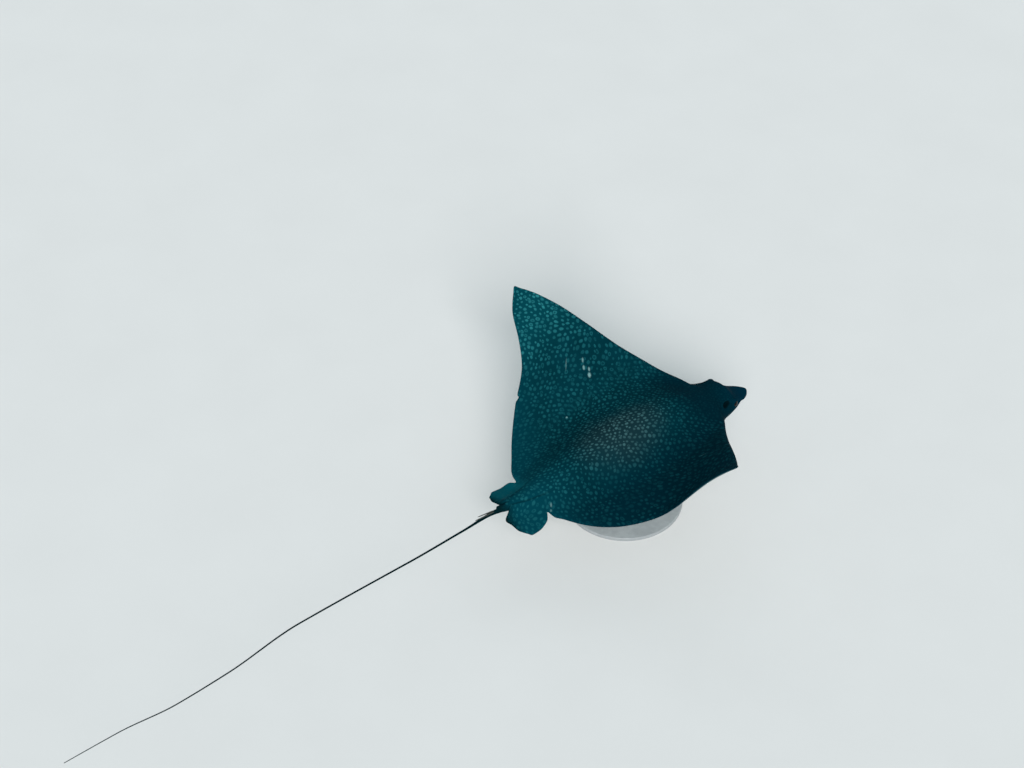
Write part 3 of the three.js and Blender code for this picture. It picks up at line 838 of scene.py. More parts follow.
# %% Map for baking
BACK_SHARE = 0.8
BACK_START = 0.395
BELLY_SHARE = 0.52
LENGTH_SHARE = 0.99
DISC_REAR = -0.349
TAIL_CUT = -0.348
TAIL_STRIPS = 3
STRIP_LENGTH = (TAIL_CUT - OUTLINE[-1][1]) / TAIL_STRIPS
STRIPS_START = (0.56, 0.004)
STRIP_STEP = 0.06
STRIP_WIDTH = 0.04
STRIP_SHARE = 0.98
BACK_HALF = 0.4999
MAP_EDGE = 0.001

place_in_ring = np.concatenate([
    np.tile(np.arange(RING_POINTS) / RING_POINTS, len(fine_stations)),
    np.tile(np.arange(coarse_points) / coarse_points, len(coarse_stations)),
])
first_point = corner_points[np.concatenate([[0], np.cumsum(face_sizes)[:-1]])]
face_start = place_in_ring[first_point][corner_faces]
face_ahead = ahead[first_point][corner_faces]
corner_ahead = ahead[corner_points]
corner_turn = place_in_ring[corner_points]
corner_turn = np.where((corner_turn == 0) & (face_start > 0.5), 1.0, corner_turn)
sideways = across[corner_points] + 0.5
from_rear = corner_ahead - DISC_REAR
back_map = np.stack([sideways * BACK_SHARE, BACK_START + from_rear * BACK_SHARE * LENGTH_SHARE], -1)
belly_map = np.stack([sideways * BELLY_SHARE, from_rear * BELLY_SHARE * LENGTH_SHARE], -1)
strip = np.clip(np.floor((TAIL_CUT - face_ahead) / STRIP_LENGTH), 0, TAIL_STRIPS - 1)
tail_map = np.stack([
    STRIPS_START[0] + strip * STRIP_STEP + corner_turn * STRIP_WIDTH,
    STRIPS_START[1] + (TAIL_CUT - corner_ahead - strip * STRIP_LENGTH) * STRIP_SHARE,
], -1)
on_tail = (face_ahead <= TAIL_CUT)[:, None]
on_back = (face_start < BACK_HALF)[:, None]
bake_map = np.where(on_tail, tail_map, np.where(on_back, back_map, belly_map))
write_map("OFBake", np.clip(bake_map, MAP_EDGE, 1 - MAP_EDGE))
print("bake map spans:", bake_map.min(0).round(3), bake_map.max(0).round(3))

# %% Close the seam at the snout and smooth the shading
SEAM_REACH = 2e-6

shape = bmesh.new()
shape.from_mesh(skin_mesh)
bmesh.ops.remove_doubles(shape, verts=shape.verts, dist=SEAM_REACH)
bmesh.ops.recalc_face_normals(shape, faces=shape.faces)
open_edges = sum(1 for edge in shape.edges if len(edge.link_faces) != 2)
shape.to_mesh(skin_mesh)
shape.free()
skin_mesh.shade_smooth()
triangles = sum(len(face.vertices) - 2 for face in skin_mesh.polygons)
print("open edges:", open_edges, "triangles:", triangles)

# %% [markdown]
# ## The skin's finish
# A spotted eagle ray is dark blue-green above and white below. Hundreds of pale spots cover its
# back, 17 to 21 mm apart, some of them rings with a dark middle. The spots stand in staggered rows
# on the spot map, shaken a little out of line, and each spot's random numbers decide its size, its
# brightness and whether it is a ring. Broad patches of colour, a dusky rim on the belly, fine
# scratches and a leathery grain complete the finish. Some patches are painted light and shade: a
# paler left wing tip and left pelvic fin, a warm highlight on the middle of the back, and shade over
# the right wing. Hollow places and the gill slits get painted shade too.

# %% Reading the maps
skin_finish, tree = new_material("skin")


def uv_map(name):
    """A map of the skin."""
    return add_node(tree, "ShaderNodeUVMap", {}, uv_map=name).outputs["UV"]


def attribute(tree, name):
    """A number stored on a piece's points."""
    return Number(add_node(tree, "ShaderNodeAttribute", {}, attribute_name=name).outputs["Fac"])


def sum_places(operation, *parts):
    """The place that one sum on places gives."""
    inputs = dict(enumerate(parts))
    return add_node(tree, "ShaderNodeVectorMath", inputs, operation=operation).outputs["Vector"]


def from_origin(place):
    """How far a place is from the origin."""
    return Number(add_node(tree, "ShaderNodeVectorMath", {0: place}, operation="LENGTH").outputs["Value"])


def seen_from(place, origin, scale, turn=0.0):
    """A place measured from an origin, in steps of a scale along axes turned by an angle."""
    inputs = {"Vector": place, "Location": origin, "Rotation": (0, 0, turn), "Scale": scale}
    return add_node(tree, "ShaderNodeMapping", inputs, vector_type="TEXTURE").outputs["Vector"]


plan = uv_map("plan")
plan_parts = add_node(tree, "ShaderNodeSeparateXYZ", {"Vector": plan})
plan_side = Number(plan_parts.outputs["X"])
plan_across = abs(plan_side)
plan_ahead = Number(plan_parts.outputs["Y"])
belly_side = attribute(tree, "belly")
hollow_shade_share = attribute(tree, "hollow")
steepness = attribute(tree, "steep")
surface_place = object_place(tree)

# %% Broad colours of the back, some of them painted light and shade
WING_DARK = (0.0004, 0.0235, 0.033, 1.0)
WING_LIGHT = (0.0007, 0.03, 0.0425, 1.0)
# Painted light: the left wing tip is paler, as if the key light fell full on it
TIP_PAINTED_LIGHT = (0.0012, 0.047, 0.062, 1.0)
REAR_PALE = (0.0006, 0.041, 0.059, 1.0)
# Painted sheen: the left pelvic fin is paler, as if it caught the light
LEFT_FIN_PAINTED_SHEEN = (0.001, 0.08, 0.105, 1.0)
# Painted shade: the right wing is darker, as if turned away from the key light
SHADE_DARK = (0.0002, 0.0175, 0.028, 1.0)
# Painted highlight: a warm grey patch on the dome in the middle of the back
BACK_PAINTED_HIGHLIGHT = (0.007, 0.0285, 0.036, 1.0)
NECK_DARK = (0.0001, 0.0165, 0.0265, 1.0)
SNOUT_BLUE = (0.0002, 0.022, 0.04, 1.0)
TAIL_DARK = (0.001, 0.011, 0.014, 1.0)
BODY_MIDDLE = (-0.01, 0.01, 0)
BODY_SCALE = (0.1, 0.13, 1)

mottle = speckle(surface_place, 7.0, 5.0, 0.6)
uneven_edge = mottle * 0.12
uneven_side = plan_side + uneven_edge
# Mask of the painted light on the left wing tip
painted_light_left_tip = fade(uneven_side, 0.45, 0.74)
# Mask of the painted shade on the right wing
painted_shade_right_side = fade(uneven_side, 0.02, -0.16)
rear = fade(plan_ahead + plan_side * -0.35 + uneven_edge, -0.12, -0.36)
# Mask of the painted highlight on the middle of the back
from_body = from_origin(seen_from(plan, BODY_MIDDLE, BODY_SCALE))
painted_highlight_on_back = fade(from_body + mottle, 0.9, 2.3, 1.0, 0.0)
neck = fade(plan_ahead, 0.18, 0.35) * fade(plan_across, 0.28, 0.12)
snout = fade(plan_ahead, 0.46, 0.54)
# Mask of the painted sheen on the left pelvic fin
painted_sheen_left_fin = fade(plan_ahead, -0.35, -0.4) * fade(plan_side, 0.02, 0.05)
tail_share = fade(plan_ahead, -0.46, -0.52)
back_colour = blend_colours(fade(mottle, 0.35, 0.68), WING_DARK, WING_LIGHT)
for share, patch_colour in (
    (painted_light_left_tip, TIP_PAINTED_LIGHT),
    (painted_shade_right_side, SHADE_DARK),
    (rear, REAR_PALE),
    (painted_highlight_on_back, BACK_PAINTED_HIGHLIGHT),
    (neck, NECK_DARK),
    (snout, SNOUT_BLUE),
    (painted_sheen_left_fin, LEFT_FIN_PAINTED_SHEEN),
    (tail_share, TAIL_DARK),
):
    back_colour = blend_colours(share, back_colour, patch_colour)
print("back:", len(tree.nodes), "nodes so far")

# %% Rows of spots
ROW_STEP = math.sqrt(3)
ROW_DISORDER = 0.38
SECOND_ROWS = (20.5, 9.5)


def shaken(place, scale, reach):
    """A place moved about by a noise: a coarse one bends the rows of spots, a fine one their edges."""
    noise = add_node(tree, "ShaderNodeTexNoise", {"Vector": place, "Scale": scale, "Detail": 1.0})
    shift = sum_places("SUBTRACT", noise.outputs["Color"], (0.5, 0.5, 0.5))
    return sum_places("MULTIPLY_ADD", shift, (reach, reach, 0.0), place)


def spot_rows(place, spacing, start):
    """Every other row of spots: how far off the nearest spot's middle is, and its random numbers."""
    rows = seen_from(place, start, (spacing, spacing * ROW_STEP, 1))
    inputs = {"Vector": rows, "Scale": 1.0, "Randomness": ROW_DISORDER}
    cells = add_node(tree, "ShaderNodeTexVoronoi", inputs, voronoi_dimensions="2D")
    to_middle = sum_places("SUBTRACT", cells.outputs["Position"], rows)
    return from_origin(sum_places("MULTIPLY", to_middle, (1, ROW_STEP, 0))), cells.outputs["Color"]


def spots(place, spacing, small, large, rings):
    """Round spots a spacing apart: sizes are shares of it, and rings is the share that are rings."""
    first, first_chance = spot_rows(place, spacing, (0, 0, 0))
    second_start = (spacing * SECOND_ROWS[0], spacing * ROW_STEP * SECOND_ROWS[1], 0)
    second, second_chance = spot_rows(place, spacing, second_start)
    chance = blend_colours(calculate("GREATER_THAN", first, second), first_chance, second_chance)
    chances = add_node(tree, "ShaderNodeSeparateColor", {"Color": chance}).outputs
    size_chance, ring_chance, pale_chance = (Number(output) for output in chances)
    is_ring = fade(ring_chance, rings, rings - 0.02)
    radius = fade(size_chance, 0.0, 1.0, small, large) + is_ring * 0.04
    share = calculate("MINIMUM", first, second) / radius
    middle = fade(share, 0.66, 0.3) * (is_ring * 0.75)
    between = fade(abs(first - second), 0.02, 0.14)
    return fade(share, 1.2, 0.6) * (1 - middle) * between * fade(pale_chance, 0.0, 1.0, 0.55, 1.0)


def blend_numbers(share, a, b):
    """Number a turning into number b as share goes from 0 to 1."""
    return Number(add_node(tree, "ShaderNodeMix", {0: share, 2: a, 3: b}, data_type="FLOAT").outputs[0])


# %% Spots and rings
WING_SPACING = 0.0207
BODY_SPACING = 0.0175
FIN_SPACING = 0.018
SPOT_WING = (0.008, 0.09, 0.107, 1.0)
# Spots in the painted light on the left wing tip are paler
SPOT_IN_PAINTED_LIGHT_TIP = (0.021, 0.18, 0.2, 1.0)
# Spots in the painted highlight on the back are paler
SPOT_IN_PAINTED_HIGHLIGHT = (0.06, 0.15, 0.16, 1.0)

spot_place = shaken(shaken(uv_map("spots"), 7.0, 0.042), 75.0, 0.0075)
wing_spots = spots(spot_place, WING_SPACING, 0.2, 0.36, 0.22)
body_spots = spots(spot_place, BODY_SPACING, 0.2, 0.36, 0.08)
fin_spots = spots(spot_place, FIN_SPACING, 0.22, 0.36, 0.35)
all_spots = blend_numbers(fade(plan_across, 0.3, 0.2), wing_spots, body_spots)
all_spots = blend_numbers(fade(plan_ahead, -0.35, -0.38), all_spots, fin_spots)
all_spots = all_spots * fade(speckle(surface_place, 4.0, 3.0), 0.25, 0.6, 0.7, 1.0)
faint = neck * 0.88
for faint_part in (
    # The spots fade over the right wing, with its painted shade
    fade(plan_side, 0.0, -0.2, 0.0, 0.62),
    fade(plan_ahead, 0.52, 0.56),
    fade(plan_ahead, -0.1, -0.2) * fade(plan_side, 0.02, 0.1, 0.0, 0.42),
    tail_share,
    fade(steepness, 0.9, 1.7),
):
    faint = larger(faint, faint_part)
# Spots brighten in the painted highlight on the back and in the painted light on the left wing tip
spot_colour = blend_colours(painted_highlight_on_back, SPOT_WING, SPOT_IN_PAINTED_HIGHLIGHT)
spot_colour = blend_colours(painted_light_left_tip, spot_colour, SPOT_IN_PAINTED_LIGHT_TIP)
spotted_back = blend_colours(all_spots * (1 - faint), back_colour, spot_colour)
print("spots:", WING_SPACING, "m apart on the wings,", BODY_SPACING, "m on the body")

# %% White belly with a dusky rim
BELLY_WHITE = (0.62, 0.66, 0.64, 1.0)
BELLY_GREY = (0.46, 0.51, 0.51, 1.0)
RIM_DUSKY = (0.03, 0.075, 0.088, 1.0)

cloudy = speckle(surface_place, 16.0, 5.0, 0.6)
belly_depth = belly_side + cloudy * 0.5 - fade(plan_across, 0.35, 0.72, 0.0, 0.45)
belly_colour = blend_colours(fade(cloudy, 0.42, 0.75), BELLY_WHITE, BELLY_GREY)
belly_colour = blend_colours(fade(belly_depth, 0.3, 0.95, 1.0, 0.0), belly_colour, RIM_DUSKY)
is_belly = fade(belly_side, 0.02, 0.16) * (1 - tail_share)
colour = blend_colours(is_belly, spotted_back, belly_colour)
print("belly white:", BELLY_WHITE[:3])

# %% Painted shade: dark lines in the gill slits
# Painted shade inside the gill slits
GILL_PAINTED_SHADE = (0.12, 0.11, 0.11, 1.0)

gill_ahead = plan_ahead / DISC_WIDTH
pair = calculate("ROUND", (GILL_FIRST_AHEAD - gill_ahead) / GILL_SPACING)
pair = calculate("MINIMUM", larger(pair, 0.0), GILL_PAIRS - 1)
along = plan_across / DISC_WIDTH - GILL_FIRST_ACROSS + pair * GILL_DRAW_IN
share = along / (pair * (-GILL_SHORTENING * GILL_HALF_LENGTH) + GILL_HALF_LENGTH)
offset = gill_ahead - GILL_FIRST_AHEAD + pair * GILL_SPACING + along * GILL_SLANT
offset = abs(offset + share * share * GILL_BOW)
gill_shade_lines = fade(offset, 0.0016, 0.0003) * fade(abs(share), 1.15, 0.7) * is_belly
colour = blend_colours(gill_shade_lines, colour, GILL_PAINTED_SHADE)
gill_length = round(2 * GILL_HALF_LENGTH * DISC_WIDTH * 1000)
print("gill slits:", GILL_PAIRS, "pairs,", gill_length, "mm long at the front")

# %% Scratches, and painted shade in hollow places
SCRATCH_PALE = (0.2, 0.36, 0.36, 1.0)
# Painted shade in hollow places, on the back and on the belly
HOLLOW_SHADE_BACK = (0.001, 0.006, 0.008, 1.0)
HOLLOW_SHADE_BELLY = (0.2, 0.17, 0.17, 1.0)

marks = 0.0
for across, ahead, turn, length, width, strength in (
    (0.366, 0.1225, 0.53, 0.011, 0.0052, 0.75),
    (0.343, 0.111, 0.5, 0.011, 0.006, 0.85),
    (0.327, 0.125, 0.45, 0.01, 0.0055, 0.8),
    (0.31, 0.114, 0.5, 0.012, 0.0085, 1.0),
    (0.393, 0.06, 0.65, 0.028, 0.0035, 0.3),
    (0.2278, -0.052, 0.5, 0.0055, 0.005, 0.8),
    (-0.085, -0.357, 0.6, 0.01, 0.005, 0.45),
    (-0.1, -0.369, 0.6, 0.006, 0.0045, 0.45),
    (-0.31, 0.16, 2.2, 0.022, 0.002, 0.25),
):
    along_mark = seen_from(plan, (across, ahead, 0), (length, width, 1), turn)
    marks = larger(marks, fade(from_origin(along_mark), 1.0, 0.3) * strength)
marks = marks * (1 - is_belly)
patchy = fade(speckle(surface_place, 240.0), 0.3, 0.55, 0.5, 0.9)
colour = blend_colours(marks * patchy, colour, SCRATCH_PALE)
hollow_shade_colour = blend_colours(is_belly, HOLLOW_SHADE_BACK, HOLLOW_SHADE_BELLY)
# Hollow places are darkened with painted shade
colour = blend_colours(hollow_shade_share * 0.9, colour, hollow_shade_colour)
print("skin colour:", len(tree.nodes), "nodes")

# %% Gloss, grain and fin rays
GLOSS = 0.002
GLOSS_TINT = (0.15, 0.7, 0.85, 1.0)
GRAIN_SIZE = 0.0016
GRAIN_HEIGHT = 0.00012
WRINKLE_HEIGHT = 0.0008
RAY_SPACING = 0.0065
RAY_HEIGHT = 0.0002
SCRATCH_DEPTH = 0.0003

uneven = speckle(surface_place, 60.0, 4.0, 0.6)
grain = speckle(surface_place, 1 / GRAIN_SIZE, 3.0, 0.6)
wrinkles = speckle(surface_place, 90.0, 4.0, 0.55)
fan = plan_ahead / larger(1 - plan_across / 0.8, 0.1) + wrinkles * 0.012
rays = calculate("SINE", fan * (2 * math.pi / RAY_SPACING)) * fade(plan_across, 0.18, 0.4) * (1 - tail_share)
relief = grain * GRAIN_HEIGHT + wrinkles * WRINKLE_HEIGHT + rays * (RAY_HEIGHT / 2) - marks * SCRATCH_DEPTH
set_shader(tree, {
    "Base Color": colour,
    "Specular IOR Level": GLOSS,
    "Specular Tint": GLOSS_TINT,
    "Roughness": fade(uneven, 0.25, 0.75, 0.5, 0.68),
    "Normal": bump(relief, 1.0, 1.0),
})
skin_mesh.materials.append(skin_finish)
print("skin finish:", len(tree.nodes), "nodes")

# %% Hand the skin over
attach(skin, "root")
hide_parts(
    "head", "snout_lobe", "trunk", "wing_left", "wing_right", "pelvic_fin_left", "pelvic_fin_right",
    "tail_1", "tail_2", "tail_3", "tail_4", "dorsal_fin",
)
print("skin replaces the nodes of flesh")

# %% [markdown]
# ## Eyes
# An eagle ray's eyes sit on the sides of its head and look outwards and a little forwards and up.
# They are dark, with a thin brown iris and a wide pupil that lies level. Each is a ball with fine
# rings of faces, its pole turned outwards and pressed in a little. How far a point is from the
# middle of the gaze is stored on the ball, so that the pupil stays an oval.

# %% Eyeballs
EYE_SEGMENTS = 64
EYE_RINGS = 40
EYE_GAP = 0.0004
POLE_PRESSED = 0.9
PUPIL_LEVEL = 0.62
PUPIL_UPRIGHT = 0.46
BEHIND_GAZE = 3.0


def apply_place():
    """Makes the selected object's place, turn and scale part of its mesh."""
    bpy.ops.object.transform_apply(location=True, rotation=True, scale=True)


def make_eye(name, side):
    """A ball at an eye's place, its pole pressed in and turned outwards."""
    centre, radius, axis = eye_seat(side)
    bpy.ops.mesh.primitive_uv_sphere_add(segments=EYE_SEGMENTS, ring_count=EYE_RINGS, radius=radius - EYE_GAP)
    eye = bpy.context.object
    eye.name = name
    for point in eye.data.vertices:
        if point.co.z > 0:
            point.co.z *= POLE_PRESSED
    level = Vector((-axis.y, axis.x, 0.0)).normalized()
    upright = axis.cross(level)
    eye.rotation_euler = Matrix((level, upright, axis)).transposed().to_euler()
    eye.location = centre
    apply_place()
    gaze = []
    for point in eye.data.vertices:
        ahead_of = (point.co - centre) / radius
        oval = math.hypot(ahead_of.dot(level) / PUPIL_LEVEL, ahead_of.dot(upright) / PUPIL_UPRIGHT)
        gaze.append(oval if ahead_of.dot(axis) > 0 else BEHIND_GAZE)
    eye.data.attributes.new("gaze", "FLOAT", "POINT").data.foreach_set("value", gaze)
    bpy.ops.object.shade_smooth()
    return eye


eyes = {"eye_left": make_eye("eyeball_left", 1), "eye_right": make_eye("eyeball_right", -1)}
print("eyes:", {name: [round(v, 3) for v in eye.dimensions] for name, eye in eyes.items()})

# %% Eye finish
PUPIL_BLACK = (0.001, 0.001, 0.0012, 1.0)
IRIS_DARK = (0.006, 0.009, 0.008, 1.0)
IRIS_BROWN = (0.03, 0.03, 0.018, 1.0)
EYE_RIM = (0.004, 0.012, 0.015, 1.0)

eye_finish, tree = new_material("eye")
gaze = attribute(tree, "gaze")
streaks = speckle(object_place(tree), 900.0, 3.0)
iris = blend_colours(streaks, IRIS_DARK, IRIS_BROWN)
eye_colour = blend_colours(fade(gaze, 0.93, 1.0), PUPIL_BLACK, iris)
eye_colour = blend_colours(fade(gaze, 1.35, 1.5), eye_colour, EYE_RIM)
eye_roughness = fade(streaks, 0.2, 0.8, 0.1, 0.18)
set_shader(tree, {"Base Color": eye_colour, "Specular IOR Level": 0.15, "Roughness": eye_roughness})
print("eye finish:", len(tree.nodes), "nodes")

# %% [markdown]
# ## Spines
# Behind the dorsal fin lie two barbed spines, flat against the top of the tail. A spine is a thin
# bar that is drawn out step by step: at each step its end is made wider or narrower in turn, which
# leaves teeth that point back to the root, and the last steps taper it to a point.

# %% Helpers for shapes drawn out of faces
def select_faces(piece, wanted):
    """In edit mode, selects the faces of a piece that pass a test."""
    shape = bmesh.from_edit_mesh(piece.data)
    for face in shape.faces:
        face.select_set(wanted(face))
    bmesh.update_edit_mesh(piece.data)


def edit_faces(piece, wanted):
    """Starts to edit a piece, with the faces that pass a test selected."""
    bpy.ops.object.mode_set(mode="EDIT")
    bpy.ops.mesh.select_mode(type="FACE")
    select_faces(piece, wanted)


def draw_out(y=0.0, z=0.0):
    """Draws the selected faces out by a distance."""
    bpy.ops.mesh.extrude_region_move(TRANSFORM_OT_translate={"value": (0, y, z)})


# %% One spine
SPINE_TEETH = 17
SPINE_WIDTH = 0.0046
SPINE_THICKNESS = 0.0019
SPINE_START = 0.002
SPINE_TIP_STEPS = 1.5
SPINE_TILT = math.radians(5.0)
SPINE_SPREAD = math.radians(2.0)
TOOTH_FLARE = 0.08  # share of a step over which a tooth widens
TOOTH_WIDER = 1.38
FIRST_WIDER = 1.5
TOOTH_NARROWER = 0.71
ROOT_NARROWER = 0.735
TOOTH_THINNER = 0.985
POINT_SCALE = (0.15, 1, 0.3)


def make_spine(name, node, side):
    """A barbed spine in the place of a node, drawn out from a small block at its root."""
    low, high = (Vector(corner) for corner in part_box(node))
    length = (high.y - low.y) * 0.985
    inner_edge = low.x if side > 0 else high.x
    root = Vector((inner_edge + side * 0.0018, low.y + 0.001, low.z + 0.0014))
    block = (SPINE_WIDTH * 0.62, SPINE_START, SPINE_THICKNESS)
    bpy.ops.mesh.primitive_cube_add(size=1, location=root, scale=block)
    spine = bpy.context.object
    spine.name = name
    apply_place()
    edit_faces(spine, lambda face: face.normal.y > 0.9)
    step = (length - SPINE_START) / (SPINE_TEETH + SPINE_TIP_STEPS)
    for tooth in range(SPINE_TEETH):
        draw_out(y=step * TOOTH_FLARE)
        bpy.ops.transform.resize(value=(TOOTH_WIDER if tooth else FIRST_WIDER, 1, 1))
        draw_out(y=step * (1 - TOOTH_FLARE))
        narrower = TOOTH_NARROWER if tooth > 2 else ROOT_NARROWER
        bpy.ops.transform.resize(value=(narrower, 1, TOOTH_THINNER))
    draw_out(y=step * SPINE_TIP_STEPS)
    bpy.ops.transform.resize(value=POINT_SCALE)
    bpy.ops.mesh.select_all(action="SELECT")
    bpy.ops.transform.rotate(value=-SPINE_TILT, orient_axis="X", center_override=root)
    bpy.ops.transform.rotate(value=side * SPINE_SPREAD, orient_axis="Z", center_override=root)
    bpy.ops.object.mode_set(mode="OBJECT")
    return spine


spines = {
    "tail_spine_1": make_spine("spine_1", "tail_spine_1", -1),
    "tail_spine_2": make_spine("spine_2", "tail_spine_2", 1),
}
print("spines:", {node: [round(v, 4) for v in spine.dimensions] for node, spine in spines.items()})

# %% Spine finish
HORN_DARK = (0.012, 0.016, 0.014, 1.0)
HORN_LIGHT = (0.045, 0.045, 0.034, 1.0)

spine_finish, tree = new_material("spine")
horn = speckle(stretched(object_place(tree), (900.0, 60.0, 900.0)), 1.0, 3.0)
set_shader(tree, {
    "Base Color": blend_colours(fade(horn, 0.3, 0.7), HORN_DARK, HORN_LIGHT),
    "Roughness": fade(horn, 0.3, 0.7, 0.4, 0.6),
    "Normal": bump(horn, 0.6, 0.0003),
})
print("spine finish:", len(tree.nodes), "nodes")

# %% [markdown]
# ## Display stand
# The stand holds the model up without taking the eye: a heavy round base in satin paint, and two
# steel rods on the midline, each screwed down by a small flange and capped by a rubber pad that is
# cut to the belly. Base, flanges and rods are turned shapes: a cylinder is added, its rims are
# bevelled, and rings of faces are inset and drawn up or down.

# %% Base of the stand
SMOOTH_BELOW = math.radians(35)
SAME_HEIGHT = 1e-5
SHARP_ANGLE = 0.9


def select_only(thing):
    """Makes one object the only selected and active one."""
    bpy.ops.object.select_all(action="DESELECT")
    thing.select_set(True)
    bpy.context.view_layer.objects.active = thing


def level_at(height):
    """A test for faces that lie level at a height."""
    return lambda face: abs(face.normal.z) > 0.9 and abs(face.calc_center_median().z - height) < SAME_HEIGHT


def place_of(node):
    """The middle of a node's underside, its half width and its height."""
    low, high = (Vector(corner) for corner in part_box(node))
    return Vector(((low.x + high.x) / 2, (low.y + high.y) / 2, low.z)), (high.x - low.x) / 2, high.z - low.z


def turned_blank(name, foot, radius, height, segments=64):
    """A cylinder on its foot point."""
    middle = foot + Vector((0, 0, height / 2))
    bpy.ops.mesh.primitive_cylinder_add(vertices=segments, radius=radius, depth=height, location=middle)
    piece = bpy.context.object
    piece.name = name
    apply_place()
    return piece


def bevel_rims(piece, width, segments, heights):
    """Rounds a piece's rims at some heights."""
    select_only(piece)
    bpy.ops.object.mode_set(mode="EDIT")
    bpy.ops.mesh.select_mode(type="EDGE")
    shape = bmesh.from_edit_mesh(piece.data)
    for edge in shape.edges:
        level = abs(edge.verts[0].co.z - edge.verts[1].co.z) < 1e-6
        sharp = len(edge.link_faces) == 2 and edge.calc_face_angle() > SHARP_ANGLE
        at_rim = any(abs(edge.verts[0].co.z - h) < SAME_HEIGHT for h in heights)
        edge.select_set(level and sharp and at_rim)
    bmesh.update_edit_mesh(piece.data)
    bpy.ops.mesh.bevel(offset=width, segments=segments, profile=0.5, affect="EDGES")
    bpy.ops.object.mode_set(mode="OBJECT")


foot, base_radius, base_height = place_of("stand_base")
base = turned_blank("base_plate", foot, base_radius, base_height, 128)
bevel_rims(base, 0.003, 4, [base_height])
bevel_rims(base, 0.0008, 2, [0.0])
select_only(base)
bpy.ops.object.shade_smooth_by_angle(angle=SMOOTH_BELOW)
print("base:", round(base_radius, 3), "m radius,", round(base_height, 3), "m high")

# %% Rods and flanges
ROD_RADIUS = 0.008
FLANGE_HEIGHT = 0.007
COLLAR_RADIUS = 0.0125
COLLAR_HEIGHT = 0.006
SCREWS = 4
SCREW_RADIUS = 0.0036
SCREW_HEIGHT = 0.0016
SCREW_SUNK = 0.0004


def make_rod(name, node):
    """A flange with a collar, and a rod that rises from it."""
    foot, flange_radius, height = place_of(node)
    rod = turned_blank(name, foot, flange_radius, FLANGE_HEIGHT)
    edit_faces(rod, level_at(foot.z + FLANGE_HEIGHT))
    bpy.ops.mesh.inset(thickness=flange_radius - COLLAR_RADIUS)
    draw_out(z=COLLAR_HEIGHT)
    bpy.ops.mesh.inset(thickness=COLLAR_RADIUS - ROD_RADIUS)
    draw_out(z=height - FLANGE_HEIGHT - COLLAR_HEIGHT)
    bpy.ops.object.mode_set(mode="OBJECT")
    bevel_rims(rod, 0.0012, 3, [foot.z + FLANGE_HEIGHT, foot.z + FLANGE_HEIGHT + COLLAR_HEIGHT])
    return rod, foot, flange_radius


def add_screws(rod, foot, flange_radius):
    """Round-headed screws, sunk a little into the flange and joined to it."""
    screws = []
    for number in range(SCREWS):
        turn = math.radians(45 + 360 / SCREWS * number)
        out = (flange_radius + COLLAR_RADIUS) / 2
        spot = foot + Vector((math.cos(turn) * out, math.sin(turn) * out, FLANGE_HEIGHT - SCREW_SUNK))
        screw = turned_blank("screw", spot, SCREW_RADIUS, SCREW_HEIGHT, 24)
        bevel_rims(screw, 0.0009, 3, [spot.z + SCREW_HEIGHT])
        screws.append(screw)
    select_only(rod)
    for screw in screws:
        screw.select_set(True)
    bpy.ops.object.join()
    bpy.ops.object.shade_smooth_by_angle(angle=SMOOTH_BELOW)


rods = {}
for end in ("front", "rear"):
    rod, foot, flange_radius = make_rod(f"rod_{end}", f"stand_rod_{end}")
    add_screws(rod, foot, flange_radius)
    rods[f"stand_rod_{end}"] = rod
print("rods:", {name: round(rod.dimensions.z, 3) for name, rod in rods.items()})

# %% Pads cut to the belly
PAD_GAP = 0.0004
PAD_BLANK = 0.005
PAD_FOOT_SHARE = 0.6
PAD_LIFT = 0.001
PAD_RINGS = 7


def make_pad(name, node):
    """A rubber pad whose top is lifted, point by point, until it just meets the belly."""
    foot, radius, _ = place_of(node)
    pad = turned_blank(name, foot, radius, PAD_BLANK)
    edit_faces(pad, level_at(foot.z))
    bpy.ops.transform.resize(value=(PAD_FOOT_SHARE, PAD_FOOT_SHARE, 1.0), center_override=foot)
    bpy.ops.mesh.select_all(action="DESELECT")
    select_faces(pad, level_at(foot.z + PAD_BLANK))
    draw_out(z=PAD_LIFT)
    for _ in range(PAD_RINGS):
        bpy.ops.mesh.inset(thickness=radius / (PAD_RINGS + 1.5))
    bpy.ops.object.mode_set(mode="OBJECT")
    for point in pad.data.vertices:
        if point.co.z > foot.z + PAD_BLANK + PAD_LIFT / 2:
            start = Vector((point.co.x, point.co.y, foot.z - 0.05))
            hit, spot, _, _ = skin.ray_cast(start, Vector((0, 0, 1)))
            if hit:
                point.co.z = spot.z - PAD_GAP
    return pad


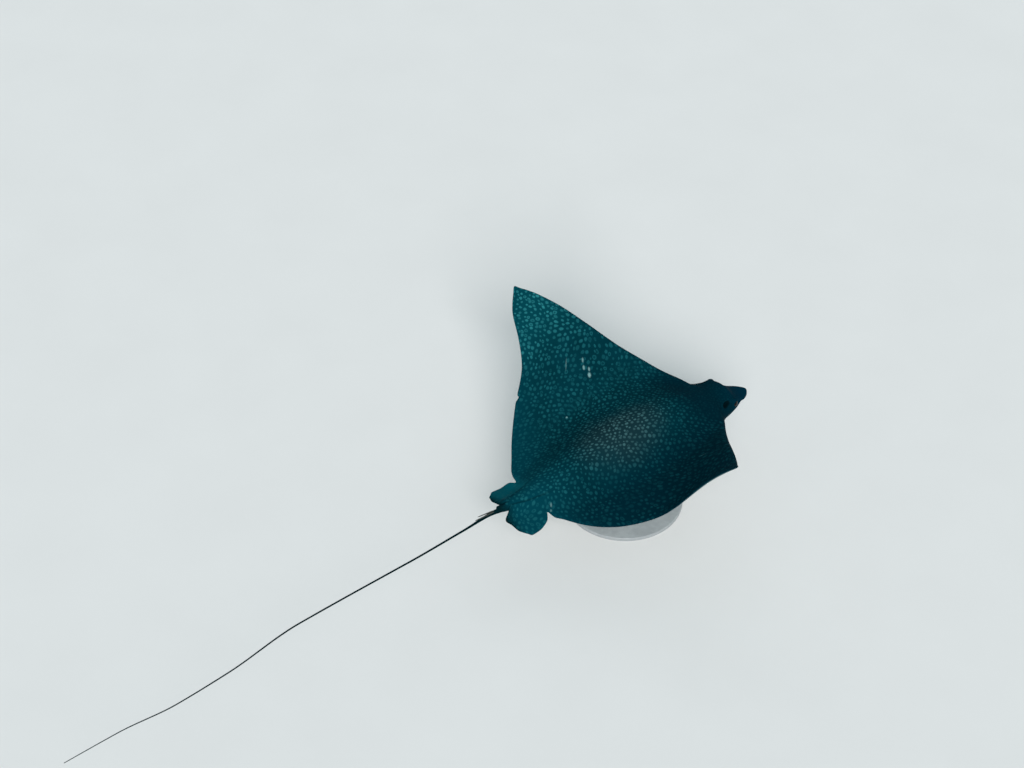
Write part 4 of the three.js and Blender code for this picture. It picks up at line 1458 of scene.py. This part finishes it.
pads = {f"stand_pad_{end}": make_pad(f"pad_{end}", f"stand_pad_{end}") for end in ("front", "rear")}
for node, pad in pads.items():
    select_only(pad)
    bpy.ops.object.shade_smooth_by_angle(angle=math.radians(40))
    print(node, "height:", round(pad.dimensions.z, 4), "in the solids:", round(place_of(node)[2], 4))

# %% Stand finishes
PAINT_DARK = (0.3, 0.32, 0.33, 1.0)
PAINT_LIGHT = (0.36, 0.38, 0.39, 1.0)
STEEL_DARK = (0.48, 0.49, 0.5, 1.0)
STEEL_LIGHT = (0.62, 0.62, 0.61, 1.0)
RUBBER_DARK = (0.012, 0.013, 0.014, 1.0)
RUBBER_LIGHT = (0.028, 0.03, 0.031, 1.0)

paint, tree = new_material("stand paint")
dust = speckle(object_place(tree), 30.0, 5.0, 0.6)
orange_peel = speckle(object_place(tree), 900.0)
set_shader(tree, {
    "Base Color": blend_colours(fade(dust, 0.35, 0.7), PAINT_DARK, PAINT_LIGHT),
    "Roughness": fade(dust, 0.3, 0.7, 0.38, 0.5),
    "Normal": bump(orange_peel, 0.3, 0.0002),
})

steel, tree = new_material("brushed steel")
brushed = speckle(stretched(object_place(tree), (120.0, 120.0, 1600.0)), 1.0, 4.0, 0.65)
set_shader(tree, {
    "Metallic": 1.0,
    "Base Color": blend_colours(brushed, STEEL_DARK, STEEL_LIGHT),
    "Roughness": fade(brushed, 0.3, 0.7, 0.24, 0.4),
    "Normal": bump(brushed, 0.25, 0.0001),
})

rubber, tree = new_material("rubber")
fine_grain = speckle(object_place(tree), 700.0, 4.0, 0.6)
set_shader(tree, {
    "Specular IOR Level": 0.3,
    "Base Color": blend_colours(fine_grain, RUBBER_DARK, RUBBER_LIGHT),
    "Roughness": fade(fine_grain, 0.3, 0.7, 0.72, 0.9),
    "Normal": bump(fine_grain, 0.4, 0.0002),
})

print("stand finishes:", paint.name, steel.name, rubber.name)

# %% Hand the small pieces over
for pieces, finish, slot in (
    (eyes, eye_finish, "eye"),
    (spines, spine_finish, "spine"),
    ({"stand_base": base}, paint, "stand_paint"),
    (rods, steel, "stand_steel"),
    (pads, rubber, "stand_pad"),
):
    for node, piece in pieces.items():
        piece.data.materials.append(finish)
        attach(piece, "root")
        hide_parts(node)
        print(piece.name, "replaces", node)
